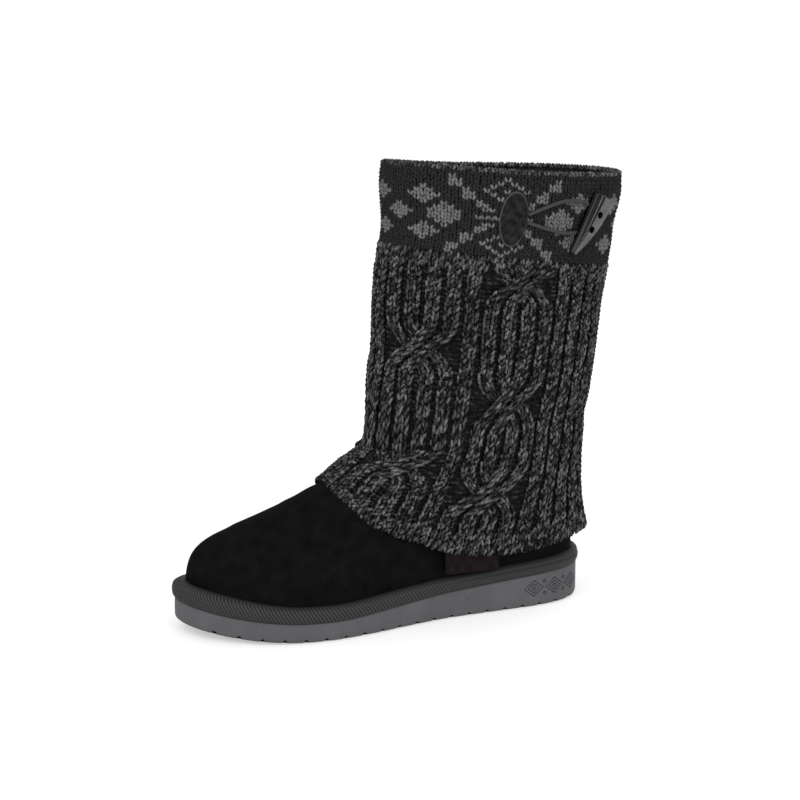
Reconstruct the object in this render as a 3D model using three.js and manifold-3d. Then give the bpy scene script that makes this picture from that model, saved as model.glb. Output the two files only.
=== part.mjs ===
// Boot with a suede foot, a moulded sole, a knitted leg and a horn toggle.
// Millimetres, +Z up. The toe points along -Y and +X is the outer side of this left boot.
// The origin lies on the floor under the middle of the sole's length.
// A length s runs along the boot from the back of the heel to the tip of the toe.
import * as THREE from 'three';
import { mergeVertices } from 'three/addons/utils/BufferGeometryUtils.js';
import Module from 'manifold-3d';

const wasm = await Module();
wasm.setup();
const { Manifold, Mesh } = wasm;

// Sole
const SOLE_LENGTH = 270;
const TOE_SPRING = 7.4;
const SPRING_START = 195;
const SOLE_STATIONS = 23;
const GROOVE_PITCH = 12.6;
const GROOVE_WIDTH = 3;
const GROOVE_DEPTH = 2.4;
const GROOVE_FIRST = 15.3;
const GROOVE_LAST = 258;
const GROOVE_LENGTH = 160;

// Foot
const FIT_GAP = 0.3;
const RAND_HEIGHT = 10.2;
const RAND_TOE_RISE = 2.6;
const RAND_TOE_FROM = 205;
const RAND_TOE_TO = 262;
const UPPER_WALL = 2.5;
const UPPER_STATIONS = 23;
const ARCH_STEPS = 13;
const ARCH_POWER = 0.95;
const THROAT_HEIGHT = 103;
const ANKLE_FLARE = 0.22;
const ANKLE_FRONT = 158;
const ANKLE_FULL = 118;
const FLARE_FOOT = 34;
const INSOLE_THICKNESS = 4;
const INSOLE_ROUND = 1;
const INSOLE_SIDE_GAP = 0.9;

// Knitted leg
const KNIT_WALL = 3.6;
const SKIRT_ROWS = 8;
const LEG_ROWS = 19;
const INNER_ROWS = 5;
const LEG_POWER = 0.94;
const HEM_FRONT = 176.5;
const HEM_BACK = -3.2;
const HEM_LATERAL = 40;
const HEM_MEDIAL = 37;
const HEM_POWER = 0.66;
const HEM_LIP = 0.7;
const BODY_RISE = 0.9;
const BAND_LEVEL = 1.655;
const BAND_BLEND = 0.02;
const CUFF_RISE = 0.8;
const CUFF_FROM = 1.97;
const CUFF_TO = 1.99;
const COLLAR_ROLL = 3.4;
const CABLE_HEIGHT = 2.2;
const CABLE_SWING = 9;
const CABLE_SPREAD = 8;
const CABLE_CREST_POWER = 2.6;
const CABLE_PERIOD = 0.46;
const CABLE_DWELL = 1.35;
const CABLE_OVERLAP = 0.25;

// Toggle fastening
const PATCH_HALF_WIDTH = 9;
const PATCH_HALF_HEIGHT = 16.8;
const PATCH_THICKNESS = 1.5;
const PATCH_POINTS = 28;
const SIDE_MM_PER_DEGREE = 1.3;
const CORD_RADIUS = 1.15;
const CORD_SIDES = 6;
const CORD_STEPS = 30;
const TOGGLE_LENGTH = 41;
const TOGGLE_BEND = 1.2;
const TOGGLE_CORNER_POWER = 0.55;
const TOGGLE_STEPS = 8;
const TOGGLE_SIDES = 14;
const TOGGLE_HOLE_RADIUS = 1.9;
const TOGGLE_STANDOFF = 3.4;
const TOGGLE_LEAN = 34;
const LABEL_FROM = 82;
const LABEL_TO = 94.5;
const LABEL_STEPS = 8;
const LABEL_INSET = 1;
const LABEL_THICKNESS = 1;
const LABEL_DROP = 12;
const LABEL_SEAM_GAP = 0.7;

// Half widths of the sole's plan on the outer and inner side of the boot's axis
const SOLE_OUTLINE = [
  { s: 0, lateral: 0, medial: 0 },
  { s: 4, lateral: 14.6, medial: 14.6 },
  { s: 12, lateral: 24.7, medial: 24.7 },
  { s: 28, lateral: 32.5, medial: 32.5 },
  { s: 48, lateral: 35.4, medial: 35.4 },
  { s: 75, lateral: 35.9, medial: 34 },
  { s: 105, lateral: 36.9, medial: 30.6 },
  { s: 135, lateral: 41.7, medial: 30.1 },
  { s: 160, lateral: 46.6, medial: 34.9 },
  { s: 185, lateral: 49.5, medial: 42.2 },
  { s: 205, lateral: 48, medial: 45.6 },
  { s: 225, lateral: 42.7, medial: 44.6 },
  { s: 245, lateral: 32, medial: 37.3 },
  { s: 258, lateral: 20.9, medial: 27.6 },
  { s: 266, lateral: 9.2, medial: 17.5 },
  { s: 270, lateral: -6, medial: 6 },
];

const SOLE_TOP = [
  { s: 0, height: 22.4 },
  { s: 25, height: 22 },
  { s: 56, height: 20.4 },
  { s: 100, height: 17.6 },
  { s: 143, height: 14.6 },
  { s: 185, height: 12 },
  { s: 270, height: 13.5 },
];

// Distance of the upper's foot from the sole's edge, which the rand fills
const UPPER_INSET = [
  { s: 0, inset: 3.6 },
  { s: 60, inset: 3.6 },
  { s: 150, inset: 4.6 },
  { s: 215, inset: 5.6 },
  { s: 270, inset: 6.6 },
];

// Height of the instep's ridge over the floor; behind the ankle it passes the throat
const UPPER_RIDGE = [
  { s: 0, height: 165 },
  { s: 118, height: 165 },
  { s: 128, height: 136 },
  { s: 138, height: 114 },
  { s: 150, height: 99.5 },
  { s: 163, height: 92 },
  { s: 178, height: 86 },
  { s: 191, height: 79.6 },
  { s: 206, height: 73 },
  { s: 222, height: 66.8 },
  { s: 238, height: 61 },
  { s: 251, height: 55.6 },
  { s: 258, height: 50 },
  { s: 261.8, height: 42 },
  { s: 263.6, height: 22 },
];

// Side of the sole from the floor up: share 0 counts from the floor, share 1 from the top
const OUTSOLE_RINGS = [
  { offset: -2.2, up: 0, share: 0 },
  { offset: -0.6, up: 0.8, share: 0 },
  { offset: 0.1, up: 2.8, share: 0 },
  { offset: 0, up: -1, share: 1 },
  { offset: -0.9, up: 0, share: 1 },
];

// Section of the rand: out from the sole's edge, in as a share of the upper's inset, share of height
const RAND_RINGS = [
  { offset: 0.3, inset: 0, rise: 0 },
  { offset: 1.2, inset: 0, rise: 0.2 },
  { offset: 1.4, inset: 0, rise: 0.48 },
  { offset: 0.6, inset: 0, rise: 0.76 },
  { offset: 0, inset: -0.32, rise: 0.93 },
  { offset: 0, inset: -0.72, rise: 1 },
  { offset: -3, inset: -1, rise: 0.97 },
  { offset: -3, inset: -1, rise: 0 },
];

// Hem of the leg on one side, by degrees round from the front
const HEM_RISE = [
  { degrees: 0, height: 88, bulge: 2.4 },
  { degrees: 25, height: 79, bulge: 2.8 },
  { degrees: 40, height: 69, bulge: 3 },
  { degrees: 56, height: 60.5, bulge: 3 },
  { degrees: 74, height: 51, bulge: 2 },
  { degrees: 86, height: 42.5, bulge: 1.5 },
  { degrees: 96, height: 38.5, bulge: 1 },
  { degrees: 112, height: 39.5, bulge: 0 },
  { degrees: 140, height: 42, bulge: -2 },
  { degrees: 180, height: 42.5, bulge: -3.5 },
];

// Rings of the leg from the ankle, level 1, to the collar, level 2
const LEG_RINGS = [
  { level: 1, height: 114, tilt: 1.5, front: 145.5, back: -0.9, lateral: 44, medial: 42 },
  { level: 1.13, height: 140, tilt: 2, front: 142.3, back: -5.4, lateral: 44.5, medial: 43 },
  { level: 1.3, height: 165, tilt: 3, front: 139.6, back: -9.2, lateral: 45, medial: 44 },
  { level: 1.48, height: 193, tilt: 4, front: 138, back: -12.8, lateral: 45.5, medial: 45 },
  { level: 1.655, height: 218, tilt: 4.8, front: 136.2, back: -16.4, lateral: 46, medial: 45.5 },
  { level: 1.82, height: 245, tilt: 5, front: 132.4, back: -20, lateral: 46.5, medial: 46 },
  { level: 1.95, height: 268, tilt: 4.8, front: 134, back: -25.8, lateral: 48, medial: 47.5 },
  { level: 2, height: 277.5, tilt: 4.5, front: 133, back: -25.5, lateral: 48, medial: 47.5 },
];

// Columns of the leg's grid on one side, closer together where the cables run
const KNIT_ZONES = [
  { from: 0, to: 22, columns: 3 },
  { from: 22, to: 112, columns: 27 },
  { from: 112, to: 180, columns: 8 },
];

// Rolled collar over the last ring: distance out of the leg's face and share of the roll's height
const COLLAR_RINGS = [
  { off: 0.2, rise: 0.72 },
  { off: -1.6, rise: 1 },
  { off: -3.6, rise: 0.72 },
];

const CABLES = [
  { degrees: 42, crossing: 0.86 },
  { degrees: 91, crossing: 1.12 },
  { degrees: 269, crossing: 1.12 },
  { degrees: 318, crossing: 0.86 },
];

// Route of the elastic cord: degrees round the leg, height over the floor, distance off the knit
const LOOP_ROUTE = [
  { degrees: 87.4, height: 253.2, off: 1.65 },
  { degrees: 94, height: 257, off: 1.6 },
  { degrees: 104, height: 260.6, off: 1.6 },
  { degrees: 113, height: 259.5, off: 1.6 },
  { degrees: 120.5, height: 253, off: 1.6 },
  { degrees: 122, height: 246, off: 1.6 },
  { degrees: 116, height: 240.5, off: 1.6 },
  { degrees: 107, height: 240.6, off: 1.6 },
  { degrees: 97, height: 243.6, off: 1.6 },
  { degrees: 87.4, height: 248.4, off: 1.65 },
];
const PATCH_PLACE = { degrees: 79.5, height: 251 };
const TOGGLE_PLACE = { degrees: 117.5, height: 245 };
const TOGGLE_TAPER = [
  { share: 0, width: 3.4, depth: 3 },
  { share: 0.25, width: 7.6, depth: 4.4 },
  { share: 0.6, width: 12.2, depth: 5.4 },
  { share: 1, width: 14.6, depth: 5.8 },
];
const TOGGLE_HOLES = [
  { x: 1, y: 9 },
  { x: 1.2, y: -1.5 },
];

const FINISHES = {
  outsole: { color: 0x66676a, roughness: 0.75, metalness: 0 },
  rand: { color: 0x2c2c2e, roughness: 0.7, metalness: 0 },
  insole: { color: 0x55524e, roughness: 1, metalness: 0 },
  upper: { color: 0x161616, roughness: 0.95, metalness: 0 },
  knit_shaft: { color: 0x3c3c3e, roughness: 1, metalness: 0 },
  toggle_patch: { color: 0x262425, roughness: 0.95, metalness: 0 },
  toggle_loop: { color: 0x4a4a4a, roughness: 0.8, metalness: 0 },
  toggle: { color: 0x2a2a2b, roughness: 0.25, metalness: 0 },
  side_label: { color: 0x1c1a1b, roughness: 0.9, metalness: 0 },
};

const place = (x, s, z) => new THREE.Vector3(x, SOLE_LENGTH / 2 - s, z);
const ease = (from, to, at) => THREE.MathUtils.smoothstep((at - from) / (to - from), 0, 1);
const power = (value, exponent) => Math.sign(value) * Math.abs(value) ** exponent;
const centroid = (ring) => ring.reduce((sum, p) => sum.add(p), new THREE.Vector3()).divideScalar(ring.length);

// Smooth value of one column of a table at a place along its key column, with no overshoot.
function along(table, key, column, at) {
  const last = table.length - 1;
  if (at <= table[0][key]) return table[0][column];
  if (at >= table[last][key]) return table[last][column];
  let i = 0;
  while (table[i + 1][key] < at) i += 1;
  const slope = (a, b) => (table[b][column] - table[a][column]) / (table[b][key] - table[a][key]);
  const soft = (a, b) => (a * b > 0 ? (2 * a * b) / (a + b) : 0);
  const here = slope(i, i + 1);
  const span = table[i + 1][key] - table[i][key];
  const u = (at - table[i][key]) / span;
  const start = (i > 0 ? soft(slope(i - 1, i), here) : here) * span;
  const end = (i + 2 <= last ? soft(here, slope(i + 1, i + 2)) : here) * span;
  const u2 = u * u;
  const u3 = u2 * u;
  return (2 * u3 - 3 * u2 + 1) * table[i][column] + (u3 - 2 * u2 + u) * start
    + (3 * u2 - 2 * u3) * table[i + 1][column] + (u3 - u2) * end;
}

// Welded solid with its faces outward.
function solidFrom(points, index) {
  const geometry = new THREE.BufferGeometry().setFromPoints(points);
  geometry.setIndex(index);
  const welded = mergeVertices(geometry, 1e-4);
  const position = welded.getAttribute('position');
  const corners = welded.getIndex().array;
  const kept = [];
  let volume = 0;
  const [a, b, c] = [new THREE.Vector3(), new THREE.Vector3(), new THREE.Vector3()];
  for (let t = 0; t < corners.length; t += 3) {
    const [i, j, k] = [corners[t], corners[t + 1], corners[t + 2]];
    if (i !== j && j !== k && k !== i) {
      kept.push(i, j, k);
      a.fromBufferAttribute(position, i);
      b.fromBufferAttribute(position, j);
      c.fromBufferAttribute(position, k);
      volume += a.dot(b.cross(c));
    }
  }
  if (volume < 0) kept.reverse();
  const mesh = new Mesh({
    numProp: 3,
    vertProperties: new Float32Array(position.array),
    triVerts: new Uint32Array(kept),
  });
  mesh.merge();
  return new Manifold(mesh);
}

// Solid of one of the stock geometry classes.
function solidOf(geometry) {
  const position = geometry.getAttribute('position');
  const points = Array.from({ length: position.count }, (_, i) => (
    new THREE.Vector3().fromBufferAttribute(position, i)
  ));
  const index = geometry.getIndex() ? Array.from(geometry.getIndex().array) : points.map((_, i) => i);
  return solidFrom(points, index);
}

// Solid from rings of equal count. Ends: 'wrap' joins the last ring to the first, 'ruled' spans each
// end ring from side to side, and 'shut' closes each end ring on its middle.
function stack(rings, ends) {
  const rows = ends === 'shut'
    ? [rings[0].map(() => centroid(rings[0])), ...rings, rings.at(-1).map(() => centroid(rings.at(-1)))]
    : rings;
  const count = rows[0].length;
  const index = [];
  const joins = ends === 'wrap' ? rows.length : rows.length - 1;
  for (let r = 0; r < joins; r += 1) {
    const a = r * count;
    const b = ((r + 1) % rows.length) * count;
    for (let i = 0; i < count; i += 1) {
      const j = (i + 1) % count;
      index.push(a + i, a + j, b + j, a + i, b + j, b + i);
    }
  }
  if (ends === 'ruled') {
    const top = (rows.length - 1) * count;
    for (let k = 0; k < count / 2; k += 1) {
      const inner = (count - k) % count;
      const ahead = count - k - 1;
      index.push(k, ahead, k + 1, k, inner, ahead);
      index.push(top + k, top + k + 1, top + ahead, top + k, top + ahead, top + inner);
    }
  }
  return solidFrom(rows.flat(), index);
}

const lift = (s) => TOE_SPRING * Math.max(0, (s - SPRING_START) / (SOLE_LENGTH - SPRING_START)) ** 2;
const soleTop = (s) => along(SOLE_TOP, 's', 'height', s) + lift(s);
const inset = (s) => along(UPPER_INSET, 's', 'inset', s);

// Plan outline of the sole: outer side from heel to toe, then inner side back to the heel.
function outline(stations) {
  const turned = SOLE_OUTLINE.map((row) => ({ ...row, turn: Math.acos(1 - (2 * row.s) / SOLE_LENGTH) }));
  const outer = [];
  const inner = [];
  for (let k = 0; k <= stations; k += 1) {
    const turn = (Math.PI * k) / stations;
    const s = (SOLE_LENGTH * (1 - Math.cos(turn))) / 2;
    outer.push({ s, x: along(turned, 'turn', 'lateral', turn) });
    if (k > 0 && k < stations) inner.push({ s, x: -along(turned, 'turn', 'medial', turn) });
  }
  return outer.concat(inner.reverse());
}

// Outline moved out in plan by a distance that may vary along the boot.
function moved(ring, distance) {
  return ring.map((point, i) => {
    const before = ring[(i + ring.length - 1) % ring.length];
    const after = ring[(i + 1) % ring.length];
    const ds = after.s - before.s;
    const dx = after.x - before.x;
    const out = distance(point.s) / Math.hypot(ds, dx);
    return { x: point.x + out * ds, s: point.s - out * dx };
  });
}

// Grooves across the tread, which open on the sole's side as a row of notches.
function buildGrooves() {
  const bars = [];
  for (let s = GROOVE_FIRST; s <= GROOVE_LAST; s += GROOVE_PITCH) {
    const bar = new THREE.CylinderGeometry(GROOVE_WIDTH / 2, GROOVE_WIDTH / 2, GROOVE_LENGTH, 8);
    bar.rotateZ(Math.PI / 2);
    bar.scale(1, 1, (2 * GROOVE_DEPTH) / GROOVE_WIDTH);
    const at = place(0, s, lift(s));
    bar.translate(at.x, at.y, at.z);
    bars.push(solidOf(bar));
  }
  return Manifold.union(bars);
}

function buildOutsole() {
  const base = outline(SOLE_STATIONS);
  const rings = OUTSOLE_RINGS.map((row) => moved(base, () => row.offset).map(({ x, s }) => {
    const foot = lift(s);
    return place(x, s, foot + row.up + row.share * (soleTop(s) - foot));
  }));
  return stack(rings, 'ruled').subtract(buildGrooves());
}

// Arched form of the foot, from the sole's rim up over the instep, grown by a distance and run down
// past the sole's top by a drop.
function footForm(grow, drop) {
  const base = moved(outline(UPPER_STATIONS), (s) => grow - inset(s));
  const sections = [];
  for (let k = 0; k <= base.length / 2; k += 1) {
    const outer = base[k];
    const inner = base[(base.length - k) % base.length];
    const s = (outer.s + inner.s) / 2;
    const floor = soleTop(s) + FIT_GAP;
    const ridge = Math.max(along(UPPER_RIDGE, 's', 'height', s - grow) + grow, floor + FIT_GAP);
    const section = [place(outer.x, outer.s, floor - drop)];
    for (let j = 0; j <= ARCH_STEPS; j += 1) {
      const turn = (Math.PI * j) / ARCH_STEPS;
      const across = power(Math.cos(turn), ARCH_POWER);
      const rise = j < ARCH_STEPS ? Math.sin(turn) ** ARCH_POWER : 0;
      const z = floor + (ridge - floor) * rise;
      const wide = 1 + ANKLE_FLARE * ease(ANKLE_FRONT, ANKLE_FULL, s) * ease(FLARE_FOOT, THROAT_HEIGHT, z);
      const x = (outer.x + inner.x) / 2 + ((outer.x - inner.x) / 2) * across * wide;
      section.push(place(x, s + ((outer.s - inner.s) / 2) * across, z));
    }
    section.push(place(inner.x, inner.s, floor - drop));
    sections.push(section);
  }
  return stack(sections, 'open');
}

// Everything above a level height.
function above(height) {
  const box = new THREE.BoxGeometry(SOLE_LENGTH, 2 * SOLE_LENGTH, SOLE_LENGTH);
  box.translate(0, 0, height + SOLE_LENGTH / 2);
  return solidOf(box);
}

function buildUpper() {
  const hollow = footForm(-UPPER_WALL, INSOLE_THICKNESS);
  return footForm(0, 0).subtract(hollow).subtract(above(THROAT_HEIGHT));
}

function buildRand(clearance) {
  const base = outline(SOLE_STATIONS);
  const tall = (s) => RAND_HEIGHT + RAND_TOE_RISE * ease(RAND_TOE_FROM, RAND_TOE_TO, s);
  const rings = RAND_RINGS.map((row) => (
    moved(base, (s) => row.offset + row.inset * inset(s))
      .map(({ x, s }) => place(x, s, soleTop(s) + FIT_GAP + row.rise * tall(s)))
  ));
  return stack(rings, 'wrap').subtract(clearance);
}

function buildInsole() {
  const base = outline(SOLE_STATIONS);
  const level = (round, up) => (
    moved(base, (s) => -inset(s) - UPPER_WALL - INSOLE_SIDE_GAP - round)
      .map(({ x, s }) => place(x, s, soleTop(s) + FIT_GAP + up))
  );
  const rings = [
    level(0, 0),
    level(0, INSOLE_THICKNESS - INSOLE_ROUND),
    level(INSOLE_ROUND, INSOLE_THICKNESS),
  ];
  return stack(rings, 'ruled');
}

// Ring of the leg at or above the ankle.
function ringPoint(degrees, level) {
  const turn = THREE.MathUtils.degToRad(degrees);
  const column = (name) => along(LEG_RINGS, 'level', name, level);
  const [ahead, aside] = [Math.cos(turn), Math.sin(turn)];
  const middle = (column('front') + column('back')) / 2;
  const reach = (column('front') - column('back')) / 2;
  const width = column(aside > 0 ? 'lateral' : 'medial');
  return place(
    width * power(aside, LEG_POWER),
    middle + reach * power(ahead, LEG_POWER),
    column('height') + column('tilt') * ahead,
  );
}

// Point of the leg's smooth face: level 0 at the hem, 1 at the ankle, 2 at the collar.
function legPoint(degrees, level) {
  if (level >= 1) return ringPoint(degrees, level);
  const turn = THREE.MathUtils.degToRad(degrees);
  const [ahead, aside] = [Math.cos(turn), Math.sin(turn)];
  const side = THREE.MathUtils.radToDeg(Math.acos(THREE.MathUtils.clamp(ahead, -1, 1)));
  const hem = place(
    (aside > 0 ? HEM_LATERAL : HEM_MEDIAL) * power(aside, HEM_POWER),
    (HEM_FRONT + HEM_BACK) / 2 + ((HEM_FRONT - HEM_BACK) / 2) * power(ahead, HEM_POWER),
    along(HEM_RISE, 'degrees', 'height', side),
  );
  const hump = (27 / 4) * level * (1 - level) ** 2;
  const swell = along(HEM_RISE, 'degrees', 'bulge', side) * hump;
  return hem.lerp(ringPoint(degrees, 1), level).add(new THREE.Vector3(aside * swell, -ahead * swell, 0));
}

// Outward direction of the leg's face.
function legNormal(degrees, level) {
  const step = 0.02;
  const rise = legPoint(degrees, Math.min(2, level + step)).sub(legPoint(degrees, Math.max(0, level - step)));
  const round = legPoint(degrees + 1, level).sub(legPoint(degrees - 1, level));
  return round.cross(rise).normalize();
}

const legFace = (degrees, level, off) => (
  legPoint(degrees, level).addScaledVector(legNormal(degrees, level), off)
);

// Level on the leg at which its face reaches a height.
function levelAt(degrees, height) {
  let low = 0;
  let high = 2;
  while (high - low > 1e-6) {
    const middle = (low + high) / 2;
    if (legPoint(degrees, middle).z < height) low = middle;
    else high = middle;
  }
  return low;
}

const legSpot = ({ degrees, height, off }) => legFace(degrees, levelAt(degrees, height), off);

// Raised cables: two strands that swing past one another, each in front on its way forward.
function cableRelief(degrees, level) {
  const crests = CABLES.flatMap((cable) => {
    const phase = (Math.PI * (level - cable.crossing)) / CABLE_PERIOD;
    const swing = CABLE_SWING * THREE.MathUtils.clamp(CABLE_DWELL * Math.sin(phase), -1, 1);
    return [1, -1].map((strand) => {
      const away = Math.abs(degrees - cable.degrees - strand * swing) / CABLE_SPREAD;
      const front = 1 - CABLE_OVERLAP * (1 - strand * Math.cos(phase));
      return front * Math.exp(-(away ** CABLE_CREST_POWER));
    });
  });
  const body = ease(BAND_LEVEL + BAND_BLEND, BAND_LEVEL - BAND_BLEND, level);
  return CABLE_HEIGHT * Math.max(...crests) * body * ease(0, 1 / SKIRT_ROWS, level);
}

function buildKnit(clearance) {
  const half = KNIT_ZONES.flatMap(({ from, to, columns }) => (
    Array.from({ length: columns }, (_, i) => from + ((to - from) * i) / columns)
  ));
  const around = half.concat(180, half.slice(1).reverse().map((degrees) => 360 - degrees));
  const face = (level, off) => around.map((degrees) => legFace(degrees, level, off(degrees)));
  const cuff = (level) => CUFF_RISE * ease(CUFF_FROM, CUFF_TO, level);
  const rings = [face(0, () => -KNIT_WALL + HEM_LIP), face(0, () => -HEM_LIP)];
  const skirt = Array.from({ length: SKIRT_ROWS }, (_, i) => (i + 1) / SKIRT_ROWS);
  const leg = Array.from({ length: LEG_ROWS }, (_, i) => 1 + (i + 1) / LEG_ROWS);
  skirt.concat(leg).forEach((level) => {
    const body = BODY_RISE * ease(BAND_LEVEL + BAND_BLEND, BAND_LEVEL - BAND_BLEND, level);
    rings.push(face(level, (degrees) => body + cuff(level) + cableRelief(degrees, level)));
  });
  COLLAR_RINGS.forEach(({ off, rise }) => {
    rings.push(face(2, () => off).map((point) => point.setZ(point.z + rise * COLLAR_ROLL)));
  });
  for (let i = 0; i < INNER_ROWS; i += 1) {
    const level = 2 * (1 - i / INNER_ROWS);
    rings.push(face(level, () => -KNIT_WALL - cuff(level)));
  }
  return stack(rings, 'wrap').subtract(clearance);
}

function buildPatch() {
  const oval = (share, off) => Array.from({ length: PATCH_POINTS }, (_, i) => {
    const turn = (2 * Math.PI * i) / PATCH_POINTS;
    return legSpot({
      degrees: PATCH_PLACE.degrees + (share * PATCH_HALF_WIDTH * Math.cos(turn)) / SIDE_MM_PER_DEGREE,
      height: PATCH_PLACE.height + share * PATCH_HALF_HEIGHT * Math.sin(turn),
      off,
    });
  });
  const face = FIT_GAP + PATCH_THICKNESS;
  const back = [0, 0.5, 1].map((share) => oval(share, FIT_GAP));
  const front = [1, 0.5, 0].map((share) => oval(share, face));
  return stack(back.concat(front), 'open');
}

function buildLoop() {
  const route = new THREE.CatmullRomCurve3(LOOP_ROUTE.map(legSpot));
  const corners = Array.from({ length: CORD_SIDES }, (_, i) => {
    const turn = (2 * Math.PI * i) / CORD_SIDES;
    return new THREE.Vector2(CORD_RADIUS * Math.cos(turn), CORD_RADIUS * Math.sin(turn));
  });
  const section = new THREE.Shape(corners);
  return solidOf(new THREE.ExtrudeGeometry(section, { steps: CORD_STEPS, extrudePath: route }));
}

// Frame on the leg's face: right towards the heel, up, and out.
function legFrame({ degrees, height }) {
  const level = levelAt(degrees, height);
  const out = legNormal(degrees, level);
  const right = new THREE.Vector3(0, 0, 1).cross(out).normalize();
  const up = out.clone().cross(right);
  return new THREE.Matrix4().makeBasis(right, up, out).setPosition(legPoint(degrees, level));
}

// Horn bar: rounded sections from its pointed tip to its cut end, with two holes through it.
function buildToggle() {
  const rings = Array.from({ length: TOGGLE_STEPS + 1 }, (_, i) => {
    const share = i / TOGGLE_STEPS;
    const width = along(TOGGLE_TAPER, 'share', 'width', share) / 2;
    const depth = along(TOGGLE_TAPER, 'share', 'depth', share) / 2;
    const bend = TOGGLE_BEND * Math.sin(Math.PI * share);
    return Array.from({ length: TOGGLE_SIDES }, (__, j) => {
      const turn = (2 * Math.PI * (j + 0.5)) / TOGGLE_SIDES;
      return new THREE.Vector3(
        bend + width * power(Math.cos(turn), TOGGLE_CORNER_POWER),
        TOGGLE_LENGTH * (share - 0.5),
        TOGGLE_STANDOFF + depth * (1 + power(Math.sin(turn), TOGGLE_CORNER_POWER)),
      );
    });
  });
  const drills = TOGGLE_HOLES.map(({ x, y }) => {
    const drill = new THREE.CylinderGeometry(TOGGLE_HOLE_RADIUS, TOGGLE_HOLE_RADIUS, TOGGLE_LENGTH, 14);
    drill.rotateX(Math.PI / 2);
    drill.translate(x, y, 0);
    return solidOf(drill);
  });
  const turned = new THREE.Matrix4().makeRotationZ(-THREE.MathUtils.degToRad(TOGGLE_LEAN));
  const bar = stack(rings, 'shut').subtract(Manifold.union(drills));
  return bar.transform(legFrame(TOGGLE_PLACE).multiply(turned).elements);
}

// Woven tab that hangs from the hem.
function buildLabel() {
  const corner = (degrees, off, drop) => {
    const point = legFace(degrees, 0, -LABEL_INSET - off);
    return point.setZ(point.z - drop);
  };
  const rings = Array.from({ length: LABEL_STEPS + 1 }, (_, i) => {
    const degrees = LABEL_FROM + ((LABEL_TO - LABEL_FROM) * i) / LABEL_STEPS;
    return [
      corner(degrees, 0, LABEL_DROP),
      corner(degrees, 0, LABEL_SEAM_GAP),
      corner(degrees, LABEL_THICKNESS, LABEL_SEAM_GAP),
      corner(degrees, LABEL_THICKNESS, LABEL_DROP),
    ];
  });
  return stack(rings, 'shut');
}

function meshOf(name, solid) {
  const { vertProperties, triVerts } = solid.getMesh();
  const geometry = new THREE.BufferGeometry();
  geometry.setAttribute('position', new THREE.Float32BufferAttribute(vertProperties, 3));
  geometry.setIndex(Array.from(triVerts));
  geometry.computeVertexNormals();
  const mesh = new THREE.Mesh(geometry, new THREE.MeshStandardMaterial(FINISHES[name]));
  mesh.name = name;
  return mesh;
}

const clearance = footForm(FIT_GAP, INSOLE_THICKNESS).subtract(above(THROAT_HEIGHT + FIT_GAP));
const boot = new THREE.Group();
boot.add(
  meshOf('outsole', buildOutsole()),
  meshOf('rand', buildRand(clearance)),
  meshOf('insole', buildInsole()),
  meshOf('upper', buildUpper()),
  meshOf('knit_shaft', buildKnit(clearance)),
  meshOf('toggle_patch', buildPatch()),
  meshOf('toggle_loop', buildLoop()),
  meshOf('toggle', buildToggle()),
  meshOf('side_label', buildLabel()),
);

export default boot;
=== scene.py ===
"""Dresses the knitted boot: yarn stitch by stitch, suede foot, ribbed rand, grooved sole and horn toggle.

Sizes are in millimetres until a mesh is made. The toe points along -Y, +X is the outer side, +Z is up.
"""
import logging
from dataclasses import dataclass
from enum import Enum
from typing import List, Optional, Sequence, Tuple

import bmesh
import bpy
import numpy as np
from mathutils import Matrix, Vector


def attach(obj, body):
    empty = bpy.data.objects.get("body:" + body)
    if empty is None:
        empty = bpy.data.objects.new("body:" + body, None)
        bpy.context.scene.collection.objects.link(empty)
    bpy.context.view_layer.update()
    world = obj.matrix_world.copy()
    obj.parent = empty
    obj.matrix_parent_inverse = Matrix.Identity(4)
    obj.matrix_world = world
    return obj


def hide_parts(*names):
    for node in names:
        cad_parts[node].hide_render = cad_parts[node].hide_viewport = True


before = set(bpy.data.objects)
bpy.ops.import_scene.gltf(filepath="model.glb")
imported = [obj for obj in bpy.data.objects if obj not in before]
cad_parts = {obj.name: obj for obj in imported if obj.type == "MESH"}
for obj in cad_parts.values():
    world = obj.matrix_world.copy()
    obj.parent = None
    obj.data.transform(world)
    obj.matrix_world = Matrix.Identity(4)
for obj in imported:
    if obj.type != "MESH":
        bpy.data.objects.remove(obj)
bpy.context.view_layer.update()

LOG = logging.getLogger("boot")
MM = 0.001
TAU = 2.0 * np.pi
BODY = "root"
WELD = 0.02
SLIVER = 0.005
SHEEN_ROUGHNESS = 0.6
COAT_ROUGHNESS = 0.08
GRAIN_SHARE = 0.05
GLOSS_SPREAD = 0.08
Array = np.ndarray
Colour = Tuple[float, float, float]
Table = Tuple[Tuple[float, ...], ...]


class Side(Enum):
    """The two sides of the boot, with the sign of X."""

    LATERAL = 1
    MEDIAL = -1


class Tone(Enum):
    """What mixes a finish's dark and light colour."""

    NOISE = "noise"
    ATTRIBUTE = "tone"


def ease(start: float, end: float, at: Array) -> Array:
    """Smooth step that is 0 at start and 1 at end, which may be lower than start."""
    share = np.clip((np.asarray(at, float) - start) / (end - start), 0.0, 1.0)
    return share * share * (3.0 - 2.0 * share)


def spow(value: Array, exponent: float) -> Array:
    """Power of the size of a value, with its sign kept."""
    return np.sign(value) * np.abs(value) ** exponent


def unit(vectors: Array) -> Array:
    """Vectors scaled to length one."""
    return vectors / np.maximum(np.linalg.norm(vectors, axis=-1, keepdims=True), 1e-12)


def column(table: Table, key: int, value: int) -> "Spline":
    """Spline of one column of a short table against another."""
    rows = np.array(table, float)
    return Spline(rows[:, key], rows[:, value])


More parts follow.
